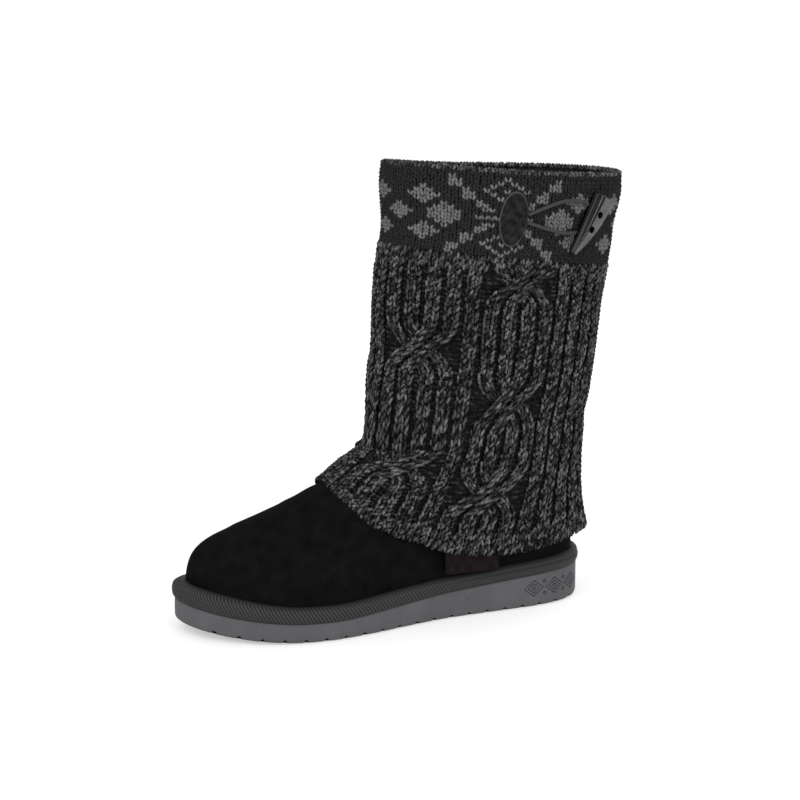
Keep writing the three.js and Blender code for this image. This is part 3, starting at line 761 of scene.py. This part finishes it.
@dataclass(frozen=True)
class Yarn:
    """How a kind of stitch lies: lift off the face, radius, share of the pale ply and its brightest shade."""

    lift: float
    size: float
    light: float = 0.0
    strength: float = 0.0


@dataclass
class KnitLeg:
    """Knitted leg: a dark shell and each stitch as two yarn legs, with ribs, cables and a patterned band."""

    form: BootForm
    wales: int = 96
    skirt_rows: int = 22
    leg_rows: int = 36
    band_rows: int = 22
    roll_rows: int = 3
    plain_rows: int = 4
    band_level: float = 1.7
    band_tilt: float = 0.026
    roll_radius: float = 1.8
    star_wale: int = 19
    ring_at: Tuple[float, ...] = (0.0, 0.2, 0.5, 0.8, 1.0)
    ring_size: Tuple[float, ...] = (0.42, 0.9, 1.0, 0.9, 0.42)
    sides: int = 5
    cables: Table = ((3, 38.5), (3, 17.0), (18, 53.0), (18, 28.0), (18, 12.0),
                     (81, 38.5), (81, 17.0), (66, 53.0), (66, 28.0), (66, 12.0))
    cross_half: float = 5.2
    cross_lift: float = 1.7
    strand_swell: float = 0.9
    rib_pull: Tuple[float, ...] = (0.06, 0.2, 0.13)
    body_stitch: Yarn = Yarn(0.45, 1.1, 0.35, 1.0)
    # Weak pale ply of the sunk purl stitches: painted shade in the rib troughs and cable gaps.
    purl_stitch: Yarn = Yarn(-1.35, 1.12, 0.3, 0.26)
    band_stitch: Yarn = Yarn(-0.35, 0.98)
    rim_stitch: Yarn = Yarn(-0.1, 1.0, 0.5, 0.55)
    band_shades: Tuple[float, float] = (0.4, 0.03)
    shell_depth: Tuple[float, float, float] = (-1.15, -0.35, -3.4)
    rim_wave: float = 1.0
    chart: Tuple[str, ...] = (
        "#.......#................",
        ".#.....##................",
        "..#....##................",
        "#..#..#.....#.......#....",
        "..#..##....###.....###...",
        ".#...##...#####...#####..",
        "#...#......###.....###...",
        "#..##....#..#.......#....",
        "#.##....###.....#.......#",
        "#......#####...###.....##",
        "#####..#####..#####...###",
        "#......#####...###.....##",
        "#.##....###.....#.......#",
        "#..##....#..#.......#....",
        "#...#......###.....###...",
        ".#...##...#####...#####..",
        "..#..##....###.....###...",
        "#..#..#.....#.......#....",
        "..#....##................",
        ".#.....##................",
        "#.......#................",
    )

    def __post_init__(self) -> None:
        """Spaces the wales evenly along the girth of each level."""
        self._levels = np.linspace(0, 2, 81)
        degrees = np.linspace(0, 360, 721)
        points = self.form.leg_point(degrees[None, :], self._levels[:, None])
        step = np.linalg.norm(np.diff(points, axis=1), axis=-1)
        quarter = np.linspace(0, self.wales / 2, 2 * self.wales + 1)
        lines = []
        for row in step:
            halves = []
            for part, start in ((row[:360], 0.0), (row[360:], 180.0)):
                arc = np.concatenate([[0], np.cumsum(part)])
                at = np.linspace(start, start + 180, 361)
                halves.append(np.interp(quarter / quarter[-1] * arc[-1], arc, at))
            lines.append(np.concatenate([halves[0], halves[1][1:]]))
        self._wale_degrees = np.array(lines)
        self.top_row = self.skirt_rows + self.leg_rows + self.band_rows

    def level(self, wale: Array, row: Array) -> Array:
        """Level of a row: even steps in skirt, leg and band, whose lower edge rises to the front."""
        first, second = self.skirt_rows, self.skirt_rows + self.leg_rows
        start = self.band_level + self.band_tilt * np.cos(TAU * wale / self.wales)
        leg = 1 + (row - first) / self.leg_rows * (start - 1)
        band = start + (row - second) / self.band_rows * (2 - start)
        return np.clip(np.where(row < first, row / first, np.where(row < second, leg, band)), 0, 2)

    def degrees(self, wale: Array, level: Array) -> Array:
        """Angle of a wale at a level, by linear steps between the spaced levels."""
        w = np.mod(wale, self.wales) * 4
        i = np.minimum(w.astype(int), 4 * self.wales - 1)
        k = np.clip(level, 0, 2) * 40
        j = np.minimum(k.astype(int), 79)
        fw, fl = w - i, k - j
        t = self._wale_degrees
        low = t[j, i] * (1 - fw) + t[j, i + 1] * fw
        high = t[j + 1, i] * (1 - fw) + t[j + 1, i + 1] * fw
        return low * (1 - fl) + high * fl

    def surface(self, wale: Array, row: Array, off: Array) -> Tuple[Array, Array]:
        """Place and outward direction on the knit.

        Up to the last row it is the leg's face moved out; past it the fabric rolls over a round edge.

        Args:
            wale: Place round the leg, in wales from the front.
            row: Place up the leg, in rows from the hem.
            off: Distance out of the leg's face.

        Returns:
            Points and unit normals.
        """
        wale, row, off = np.broadcast_arrays(wale, row, off)
        level = self.level(wale, row)
        degrees = self.degrees(wale, level)
        normal = self.form.leg_normal(degrees, level)
        roll = np.clip((row - self.top_row) / self.roll_rows, 0, 1) * np.pi
        up = np.zeros_like(normal)
        up[..., 2] = 1.0
        out = normal * np.cos(roll)[..., None] + up * np.sin(roll)[..., None]
        face = self.form.leg_point(degrees, level)
        loose = ease(self.top_row, self.top_row - 12, row) * ease(0, 5, row)
        slack = 0.9 * soft_noise(face, 46.0, 21) * loose
        centre = face - normal * (self.roll_radius - slack)[..., None]
        below = np.minimum(row, 0) * 3.0
        near_rim = ease(self.top_row - 9, self.top_row, row)
        wave = self.rim_wave * np.sin(TAU * 2 * wale / self.wales + 0.9) * near_rim
        return centre + out * (self.roll_radius + off)[..., None] + up * (below + wave)[..., None], out

    def cable(self, wale: Array, row: Array) -> Tuple[Array, Array]:
        """Sideways shift, in wales, and lift, in millimetres, of stitches in a cable's crossing.

        Below the middle of a crossing the left strand moves right over the other; above it the right one
        arrives
        from the left. Both shifts follow one smooth step, and the front strand is raised by its slope.

        Args:
            wale: Whole number of the stitch's wale.
            row: Row, as a real number.

        Returns:
            Shift and lift.
        """
        shift, lift = np.zeros_like(row), np.zeros_like(row)
        for first, middle in self.cables:
            inside = (wale >= first) & (wale < first + 12) & (np.abs(row - middle) < self.cross_half)
            left = wale < first + 6
            step = ease(middle - self.cross_half, middle + self.cross_half, row)
            below = row < middle
            move = 6 * np.where(below, step, 1 - step) * np.where(left, 1, -1)
            front = left == below
            hump = np.sin(np.pi * step)
            shift = np.where(inside, move, shift)
            lift = np.where(inside, np.where(front, self.cross_lift, -self.cross_lift) * hump, lift)
        for first in {start for start, _ in self.cables}:
            inside = (wale >= first) & (wale < first + 12)
            swell = np.sin(np.pi * (np.mod(wale - first, 6) + 0.5) / 6)
            lift = lift + inside * self.strand_swell * self.ribbed(row) * swell
        return shift, lift

    def yarn(self, wale: Array, row: Array, lean: Array, lift: Array, size: Array,
             purl: bool = False) -> Tuple[Array, Array]:
        """Yarn legs: a thin tube with pinched ends along an arched line on the knit.

        A knit leg starts near its wale's middle and leans out as it climbs one row and a bit. A purl leg
        lies across
        its wale. The section is an oval, wider along the fabric than off it.

        Args:
            wale: Wale's whole number of each leg.
            row: Row's whole number.
            lean: -1 for the left leg, 1 for the right.
            lift: Distance of the leg's middle off the leg's face.
            size: Radius along the fabric.
            purl: Whether the legs lie across.

        Returns:
            Points of shape (legs, rings, sides, 3) and their angles round the tube.
        """
        t = np.array(self.ring_at)[None, :]
        jitter = np.random.default_rng(len(wale)).normal(size=(len(wale), 2)) * np.array([0.05, 0.09])
        if purl:
            across = np.broadcast_to(-0.55 + 1.1 * t, (len(wale), t.shape[1]))
            rows = row[:, None] + 0.5 + 0.3 * np.sin(np.pi * t)
        else:
            across = lean[:, None] * (0.1 + 0.33 * t) + jitter[:, :1]
            rows = row[:, None] - 0.24 + 1.46 * t + jitter[:, 1:]
        wales = np.broadcast_to(wale[:, None], rows.shape)
        shift, bump = self.cable(wales, rows) if not purl else (0.0, 0.0)
        ribbed = self.ribbed(rows)
        pull = np.array(self.rib_pull)[np.mod(wales, 3)]
        across = across * (1 + 0.1 * ribbed)
        arch = 1.1 * (1 - (2 * t - 1) ** 2) - 0.65
        centre, normal = self.surface(wales + 0.5 + across + shift + pull * ribbed, rows,
                                      lift[:, None] + arch + bump)
        run = unit(np.gradient(centre, axis=1))
        side = unit(np.cross(run, normal))
        out = np.cross(side, run)
        angle = np.pi / 2 + TAU * np.arange(self.sides) / self.sides
        radius = (size[:, None] * np.array(self.ring_size))[..., None, None]
        ring = np.cos(angle)[:, None] * side[:, :, None] + 0.86 * np.sin(angle)[:, None] * out[:, :, None]
        return centre[:, :, None] + radius * ring, angle

    def ribbed(self, row: Array) -> Array:
        """How far a row is ribbed: none at the hem, below the band and in the band."""
        last = self.skirt_rows + self.leg_rows
        return ease(self.plain_rows - 0.5, self.plain_rows + 0.5, row) * ease(last - 3.5, last - 4.5, row)

    def legs_faces(self, count: int) -> List[Array]:
        """Quads along the tubes and a cap on each end."""
        rings = len(self.ring_at)
        one = grid_faces(rings, self.sides, wrap_cols=True)
        start = np.arange(count)[:, None, None] * rings * self.sides
        quads = (one[None] + start).reshape(-1, 4)
        caps = np.stack([np.arange(self.sides)[::-1], np.arange(self.sides) + (rings - 1) * self.sides])
        return [quads, (caps[None] + start).reshape(-1, self.sides)]

    def marl(self, count: int, angle: Array, rng: np.random.Generator, yarn: Yarn) -> Array:
        """Shade of a two-ply marl yarn: a pale ply winds round a dark one, and shows as short flecks.

        Args:
            count: Number of legs.
            angle: Angles round the tube.
            rng: Random numbers.
            yarn: Kind of stitch, with its share of the pale ply.

        Returns:
            Shades of shape (legs, rings, sides).
        """
        t = np.array(self.ring_at)[None, :, None]
        phase = rng.uniform(0, TAU, count)[:, None, None]
        wind = rng.uniform(0.45, 0.85, count)[:, None, None]
        wave = 0.5 + 0.5 * np.cos(angle[None, None, :] + TAU * wind * t + phase)
        gain = yarn.strength * rng.uniform(0.25, 1.0, count)[:, None, None] ** 1.3
        return gain * ease(0.9 - yarn.light, 1.22 - yarn.light, wave)

    def stitch_piece(self, name: str, wale: Array, row: Array, yarn: Yarn, seed: int,
                     finish: bpy.types.Material, base: Optional[Array] = None, purl: bool = False) -> None:
        """Makes one piece of stitches.

        Args:
            name: Name of the piece.
            wale: Wale of each stitch.
            row: Row of each stitch.
            yarn: How the stitches lie and how pale they are.
            seed: Number for the yarn's shades.
            finish: Material.
            base: Plain shade of each stitch in place of the marl.
            purl: Whether each stitch is one leg across the wale.
        """
        rng = np.random.default_rng(seed)
        legs = 1 if purl else 2
        lean = np.zeros(len(wale)) if purl else np.tile([-1.0, 1.0], len(wale))
        wale, row = np.repeat(wale, legs), np.repeat(row, legs)
        count = len(wale)
        radius = yarn.size * rng.uniform(0.93, 1.08, count)
        lift = yarn.lift + rng.uniform(-0.12, 0.12, count)
        points, angle = self.yarn(wale, row, lean, lift, radius, purl)
        if base is None:
            tone = self.marl(count, angle, rng, yarn)
        else:
            plain = np.repeat(base, legs) * rng.uniform(0.72, 1.22, count)
            twist = np.sin(angle * 2 + TAU * 1.5 * np.array(self.ring_at)[:, None])
            tone = plain[:, None, None] * (1 + 0.25 * twist)
        make_piece(name, points, self.legs_faces(count), finish, tone=tone)

    def stitches(self, rows: Tuple[int, int], wales: Tuple[int, int]) -> Tuple[Array, Array]:
        """Wale and row numbers of a block of stitches."""
        w, r = np.meshgrid(np.arange(*wales), np.arange(*rows))
        return w.ravel(), r.ravel()

    def build_body(self) -> None:
        """Ribs and cables: two knit wales and a sunk purl wale in turn, with plain rows at both ends."""
        finish = LEG_YARN.build()
        last = self.skirt_rows + self.leg_rows
        half = self.wales // 2
        parts = (("skirt", (0, self.skirt_rows)), ("leg", (self.skirt_rows, last)))
        sides = (("outer", (0, half)), ("inner", (half, self.wales)))
        blocks = [(f"{part}_yarn_{side}", rows, wales) for part, rows in parts for side, wales in sides]
        for seed, (name, rows, wales) in enumerate(blocks):
            wale, row = self.stitches(rows, wales)
            knit = (np.mod(wale, 3) < 2) | (self.ribbed(row) < 0.5)
            wale, row = wale[knit], row[knit]
            self.stitch_piece(name, wale, row, self.body_stitch, 20 + seed, finish)
        wale, row = self.stitches((0, last), (0, self.wales))
        sunk = (np.mod(wale, 3) == 2) & (self.ribbed(row) >= 0.5)
        for start, middle in self.cables:
            sunk |= (wale >= start) & (wale < start + 12) & (np.abs(row + 0.5 - middle) < self.cross_half + 1)
        wale, row = wale[sunk], row[sunk]
        # Purl stitches in the troughs and cable gaps carry a weak pale ply: painted shade there.
        self.stitch_piece("purl_yarn", wale, row, self.purl_stitch, 30, finish, purl=True)

    def motif(self, wale: Array, row: Array) -> Array:
        """Whether a stitch of the band belongs to its pattern: a chart mirrored about the star's middle."""
        pattern = np.array([[mark == "#" for mark in line] for line in self.chart])[::-1]
        count = 2 * (pattern.shape[1] - 1)
        away = np.mod(wale - self.star_wale, count)
        away = np.minimum(away, count - away)
        inside = row < len(pattern)
        return inside & pattern[np.clip(row, 0, len(pattern) - 1), away]

    def build_band(self) -> None:
        """Patterned band in plain stitches and the paler rolled rim."""
        finish = BAND_YARN.build()
        first = self.skirt_rows + self.leg_rows
        half = self.wales // 2
        sides = (("band_yarn_outer", (0, half)), ("band_yarn_inner", (half, self.wales)))
        for seed, (name, wales) in enumerate(sides):
            wale, row = self.stitches((first, self.top_row), wales)
            shade = np.where(self.motif(wale, row - first), *self.band_shades)
            self.stitch_piece(name, wale, row, self.band_stitch, 40 + seed, finish, base=shade)
        wale, row = self.stitches((self.top_row, self.top_row + self.roll_rows), (0, self.wales))
        self.stitch_piece("rim_yarn", wale, row, self.rim_stitch, 50, finish)

    def build_ground(self) -> None:
        """Dark shell under the stitches: the leg's face sunk below the yarn, the rim and a plain inside."""
        wale = np.arange(2 * self.wales) / 2.0
        rim = np.linspace(self.top_row, self.top_row + self.roll_rows, 9)
        outer = np.concatenate([np.linspace(0.0, self.top_row - 1.0, 62), rim])
        inner = np.linspace(self.top_row, 0.15, 30)
        last = self.skirt_rows + self.leg_rows
        skin_off, body_off, back_off = self.shell_depth
        off = skin_off + body_off * ease(last, last - 2, outer)
        skin, _ = self.surface(wale[None, :], outer[:, None], off[:, None])
        back, _ = self.surface(wale[None, :], inner[:, None], np.full((len(inner), 1), back_off))
        points = np.concatenate([skin, back])
        make_piece("knit_ground", points, [grid_faces(*points.shape[:2], True, True)], KNIT_SHADE.build(),
                   "knit_shaft")

    def build(self) -> None:
        """Makes the shell, the ribbed and cabled body and the band."""
        self.build_ground()
        self.build_body()
        self.build_band()


@dataclass
class Fastening:
    """Horn toggle, elastic loop, suede patch and the bare woven tab."""

    form: BootForm
    patch_place: Tuple[float, float] = (81.0, 250.5)
    patch_half: Tuple[float, float] = (8.3, 16.8)
    mm_per_degree: float = 1.3
    cord_radius: float = 1.15
    route: Table = ((87.4, 253.2, 1.65), (94, 257, 1.6), (104, 260.6, 1.6), (113, 259.5, 1.6),
                    (120.5, 253, 1.6),
                    (122, 246, 1.6), (116, 240.5, 1.6), (107, 240.6, 1.6), (97, 243.6, 1.6),
                    (87.4, 248.4, 1.65))
    toggle_place: Tuple[float, float] = (117.5, 245.0)
    toggle_length: float = 41.0
    toggle_bend: float = 1.2
    toggle_lean: float = 34.0
    toggle_standoff: float = 3.4
    toggle_bevel: float = 2.4
    taper: Table = ((0, 3.4, 3), (0.25, 7.6, 4.4), (0.6, 12.2, 5.4), (1, 14.6, 5.8))
    holes: Table = ((1, 9), (1.2, -1.5))
    hole_radius: float = 2.15
    tab_span: Tuple[float, float] = (82.8, 93.6)
    tab_drop: Tuple[float, float] = (15.0, 9.5)

    def build_patch(self) -> None:
        """Oval patch: rings from the back's middle out, over a pale edge, and in over a soft crown."""
        turn = np.linspace(0, TAU, 73)[:-1][None, :]
        crown = np.linspace(0.985, 0.02, 16)
        share = np.concatenate([np.linspace(0.02, 0.98, 6), [1.0, 1.0], crown])[:, None]
        off = np.concatenate([np.full(6, 0.3), [0.55, 1.25], 1.55 + 0.35 * (1 - crown**4)])[:, None]
        degrees = self.patch_place[0] + share * self.patch_half[0] * np.cos(turn) / self.mm_per_degree
        height = self.patch_place[1] + share * self.patch_half[1] * np.sin(turn)
        points = self.form.leg_spot(degrees, height, np.broadcast_to(off, degrees.shape))
        mottle = 0.07 + 0.07 * soft_noise(points, 6.0, 31) + 0.05 * soft_noise(points, 2.5, 32)
        tone = np.maximum(mottle, np.exp(-((1 - share) / 0.03) ** 2) * 0.8)
        caps = np.stack([np.arange(72)[::-1], np.arange(72) + 23 * 72])
        make_piece("patch_suede", points, [grid_faces(24, 72, wrap_cols=True), caps], PATCH_SUEDE.build(),
                   "toggle_patch", tone=tone)

    def build_loop(self) -> None:
        """Elastic cord: a round section with a fine braid, carried along a smooth line through the route."""
        knots = np.array(self.route)
        spots = self.form.leg_spot(knots[:, 0], knots[:, 1], knots[:, 2])
        t = np.linspace(0, len(spots) - 1, 190)
        line = np.stack([Spline(np.arange(len(spots)), spots[:, i])(t) for i in range(3)], -1)
        arc = np.concatenate([[0], np.cumsum(np.linalg.norm(np.diff(line, axis=0), axis=1))])
        degrees = Spline(np.arange(len(spots)), knots[:, 0])(t)
        normal = self.form.leg_normal(degrees, np.full_like(degrees, 1.85))
        run = unit(np.gradient(line, axis=0))
        side = unit(np.cross(run, normal))
        out = np.cross(side, run)
        angle = np.linspace(0, TAU, 15)[:-1]
        spin, lay = 4 * angle[None, :], TAU * arc[:, None] / 2.6
        braid = np.cos(spin + lay) * np.cos(spin - lay)
        radius = self.cord_radius * (1 + 0.05 * braid)
        ring = np.cos(angle)[None, :, None] * side[:, None] + np.sin(angle)[None, :, None] * out[:, None]
        caps = np.stack([np.arange(14)[::-1], np.arange(14) + 189 * 14])
        make_piece("loop_cord", line[:, None] + radius[..., None] * ring,
                   [grid_faces(190, 14, wrap_cols=True), caps],
                   CORD.build(), "toggle_loop", tone=0.55 + 0.3 * braid)

    def toggle_frame(self) -> Tuple[Array, Array]:
        """Origin of the toggle on the leg's face, and its axes as rows: right, up along the bar, and out."""
        degrees, height = (np.array([value]) for value in self.toggle_place)
        spot = self.form.leg_spot(degrees, height, np.zeros(1))[0]
        out = (self.form.leg_spot(degrees, height, np.ones(1))[0] - spot)
        right = unit(np.cross([0.0, 0.0, 1.0], out))
        up = np.cross(out, right)
        c, s = np.cos(np.radians(self.toggle_lean)), np.sin(np.radians(self.toggle_lean))
        return spot, np.stack([c * right - s * up, s * right + c * up, out])

    def build_toggle(self) -> None:
        """Horn bar: rounded sections that taper to its tip, one flank sloped, with two drilled holes."""
        steps, sides = 44, 56
        grow = np.concatenate([[0.02, 0.55, 0.82, 0.95], np.ones(steps - 8), [0.97, 0.9, 0.75, 0.03]])[:,
                                                                                                       None]
        share = np.concatenate([[0, 0, 0.004, 0.012], np.linspace(0.022, 0.985, steps - 8),
                                [0.992, 0.997, 1, 1]])[:, None]
        width, depth = (column(self.taper, 0, i)(share) / 2 for i in (1, 2))
        turn = np.linspace(0, TAU, sides + 1)[:-1][None, :]
        x = self.toggle_bend * np.sin(np.pi * share) + grow * width * spow(np.cos(turn), 0.5)
        z = self.toggle_standoff + depth * (1 + grow * spow(np.sin(turn), 0.5))
        slope = np.maximum(0, -spow(np.cos(turn), 0.5) - 0.4) * (np.sin(turn) > 0)
        z = z - self.toggle_bevel * depth * grow * slope**1.25
        y = np.broadcast_to(self.toggle_length * (share - 0.5), x.shape)
        spot, axes = self.toggle_frame()
        points = spot + np.stack([x, y, z], -1) @ axes
        caps = np.stack([np.arange(sides)[::-1], np.arange(sides) + (steps - 1) * sides])
        piece = make_piece("toggle_horn", points, [grid_faces(steps, sides, wrap_cols=True), caps],
                           HORN.build(),
                           "toggle", weld=True)
        around = np.linspace(0, TAU, 33)[:-1]
        for hole_x, hole_y in self.holes:
            ends = [np.stack([hole_x + self.hole_radius * np.cos(around),
                              hole_y + self.hole_radius * np.sin(around),
                              np.full(32, level)], -1) for level in (-4.0, 30.0)]
            mesh = bpy.data.meshes.new("drill")
            lids = [list(range(32))[::-1], list(range(32, 64))]
            mesh.from_pydata(((spot + np.concatenate(ends) @ axes) * MM).tolist(), [],
                             grid_faces(2, 32, wrap_cols=True).tolist() + lids)
            drill = bpy.data.objects.new("drill", mesh)
            bpy.context.scene.collection.objects.link(drill)
            cut = piece.modifiers.new("drill", "BOOLEAN")
            cut.operation = "DIFFERENCE"
            cut.object = drill
            bpy.context.view_layer.update()
            shown = piece.evaluated_get(bpy.context.evaluated_depsgraph_get())
            cut_mesh = bpy.data.meshes.new_from_object(shown)
            piece.modifiers.clear()
            piece.data = cut_mesh
            bpy.data.objects.remove(drill)
        piece.data.materials.clear()
        for finish in (HORN, HORN_FACE):
            piece.data.materials.append(finish.build())
        facing = np.zeros(len(piece.data.polygons) * 3)
        piece.data.polygons.foreach_get("normal", facing)
        front = (facing.reshape(-1, 3) @ axes[2]) > 0.96
        piece.data.polygons.foreach_set("material_index", front.astype(np.int32))
        piece.data.update()

    def build_tab(self) -> None:
        """Bare woven tab: a sheet that hangs from the hem with a slight wave, given a thin wall."""
        degrees = np.linspace(*self.tab_span, 60)[:, None]
        fall = np.linspace(0, 1, 24)[None, :]
        top = self.form.leg_point(degrees, np.zeros(1)) + self.form.leg_normal(degrees, np.zeros(1)) * -1.1
        out = self.form.leg_normal(degrees, np.zeros(1))
        points = np.broadcast_to(top, (60, 24, 3)).copy()
        run = np.linspace(0, 1, 60)[:, None]
        front, back = self.tab_drop
        points[..., 2] -= -1.5 + fall * (front + run * (back - front) + 1.5)
        points += out * (0.25 * np.sin(3.4 * np.pi * run) * fall)[..., None]
        weave = 0.5 + 0.5 * np.sin(TAU * run * 55) * np.sin(TAU * fall * 22)
        border = np.maximum(np.exp(-((np.minimum(fall, 1 - fall)) / 0.05) ** 2) + 0 * run,
                            np.exp(-((np.minimum(run, 1 - run)) / 0.03) ** 2) + 0 * fall)
        piece = make_piece("woven_tab", points, [grid_faces(60, 24)], WOVEN_TAB.build(),
                           "side_label",
                           tone=0.3 + 0.5 * weave - 0.3 * border)
        thick = piece.modifiers.new("wall", "SOLIDIFY")
        thick.thickness = 0.9 * MM
        thick.offset = 1.0

    def build(self) -> None:
        """Makes the four pieces."""
        self.build_patch()
        self.build_loop()
        self.build_toggle()
        self.build_tab()


@dataclass
class Studio:
    """Pale floor, soft light and a camera at the photograph's angle."""

    camera_place: Tuple[float, float, float] = (1.0004, -0.4111, 0.3503)
    aim: Tuple[float, float, float] = (0.0, 0.0, 0.15)
    lens: float = 79.19
    shift: Tuple[float, float] = (0.0211, -0.0285)
    floor_glow: float = 0.45
    lights: Tuple[Tuple[str, Tuple[float, float, float], float, float], ...] = (
        ("key", (0.75, -1.1, 1.35), 0.9, 7.0),
        ("fill", (1.5, 0.5, 0.7), 1.1, 0.3),
        ("back", (-0.5, 1.2, 1.2), 0.9, 4.0),
    )

    strip_place: Tuple[float, float, float] = (1.23, -0.095, 0.645)
    strip_aim: Tuple[float, float, float] = (0.05, 0.045, 0.245)
    strip_along: Tuple[float, float, float] = (-0.43, 0.565, 0.69)
    strip_size: Tuple[float, float] = (0.1, 0.6)
    strip_power: float = 4.6

    @staticmethod
    def _aim(thing: bpy.types.Object, at: Tuple[float, float, float]) -> None:
        """Turns an object's -Z axis to a point."""
        thing.rotation_euler = (Vector(at) - thing.location).to_track_quat("-Z", "Y").to_euler()

    def build_strip(self) -> None:
        """Long narrow lamp that draws the bright line along the toggle's flank."""
        lamp = bpy.data.lights.new("strip", "AREA")
        lamp.shape = "RECTANGLE"
        lamp.size, lamp.size_y = self.strip_size
        lamp.energy = self.strip_power
        back = (Vector(self.strip_place) - Vector(self.strip_aim)).normalized()
        across = Vector(self.strip_along).cross(back).normalized()
        thing = bpy.data.objects.new("strip", lamp)
        thing.location = self.strip_place
        thing.rotation_euler = Matrix((across, back.cross(across), back)).transposed().to_euler()
        bpy.context.scene.collection.objects.link(thing)

    def build(self) -> None:
        """Makes the camera, the lights, the world and the floor."""
        scene = bpy.context.scene
        data = bpy.data.cameras.new("camera")
        data.lens, data.sensor_width = self.lens, 36.0
        data.shift_x, data.shift_y = self.shift
        camera = bpy.data.objects.new("camera", data)
        camera.location = self.camera_place
        self._aim(camera, self.aim)
        scene.collection.objects.link(camera)
        scene.camera = camera
        for name, place, size, power in self.lights:
            lamp = bpy.data.lights.new(name, "AREA")
            lamp.size, lamp.energy = size, power
            thing = bpy.data.objects.new(name, lamp)
            thing.location = place
            self._aim(thing, self.aim)
            scene.collection.objects.link(thing)
        self.build_strip()
        world = bpy.data.worlds.new("studio")
        world.use_nodes = True
        back = world.node_tree.nodes["Background"]
        back.inputs["Color"].default_value = (1.0, 1.0, 1.0, 1.0)
        back.inputs["Strength"].default_value = 1.0
        scene.world = world
        scene.view_settings.view_transform = "Standard"
        angle = np.linspace(0, TAU, 65)[:-1]
        rings = np.array([0.001, 0.5, 1.5, 4.0])[:, None] * 1000.0
        points = np.stack(np.broadcast_arrays(rings * np.cos(angle), rings * np.sin(angle), -0.2), -1)
        mesh = bpy.data.meshes.new("floor")
        faces = grid_faces(4, 64, wrap_cols=True)[:, ::-1].tolist() + [list(range(64))]
        mesh.from_pydata((points.reshape(-1, 3) * MM).tolist(), [], faces)
        pale = FLOOR.build()
        shader = pale.node_tree.nodes["Principled BSDF"]
        shader.inputs["Emission Color"].default_value = (1.0, 1.0, 1.0, 1.0)
        shader.inputs["Emission Strength"].default_value = self.floor_glow
        mesh.materials.append(pale)
        floor = bpy.data.objects.new("floor", mesh)
        scene.collection.objects.link(floor)


def main() -> None:
    """Builds the scene's parts in order."""
    logging.basicConfig(level=logging.INFO, format="%(name)s %(message)s")
    form = BootForm()
    for part in (Studio(), Sole(form), Foot(form), KnitLeg(form), Fastening(form)):
        LOG.info("building %s", type(part).__name__)
        part.build()


if __name__ == "__main__":
    main()
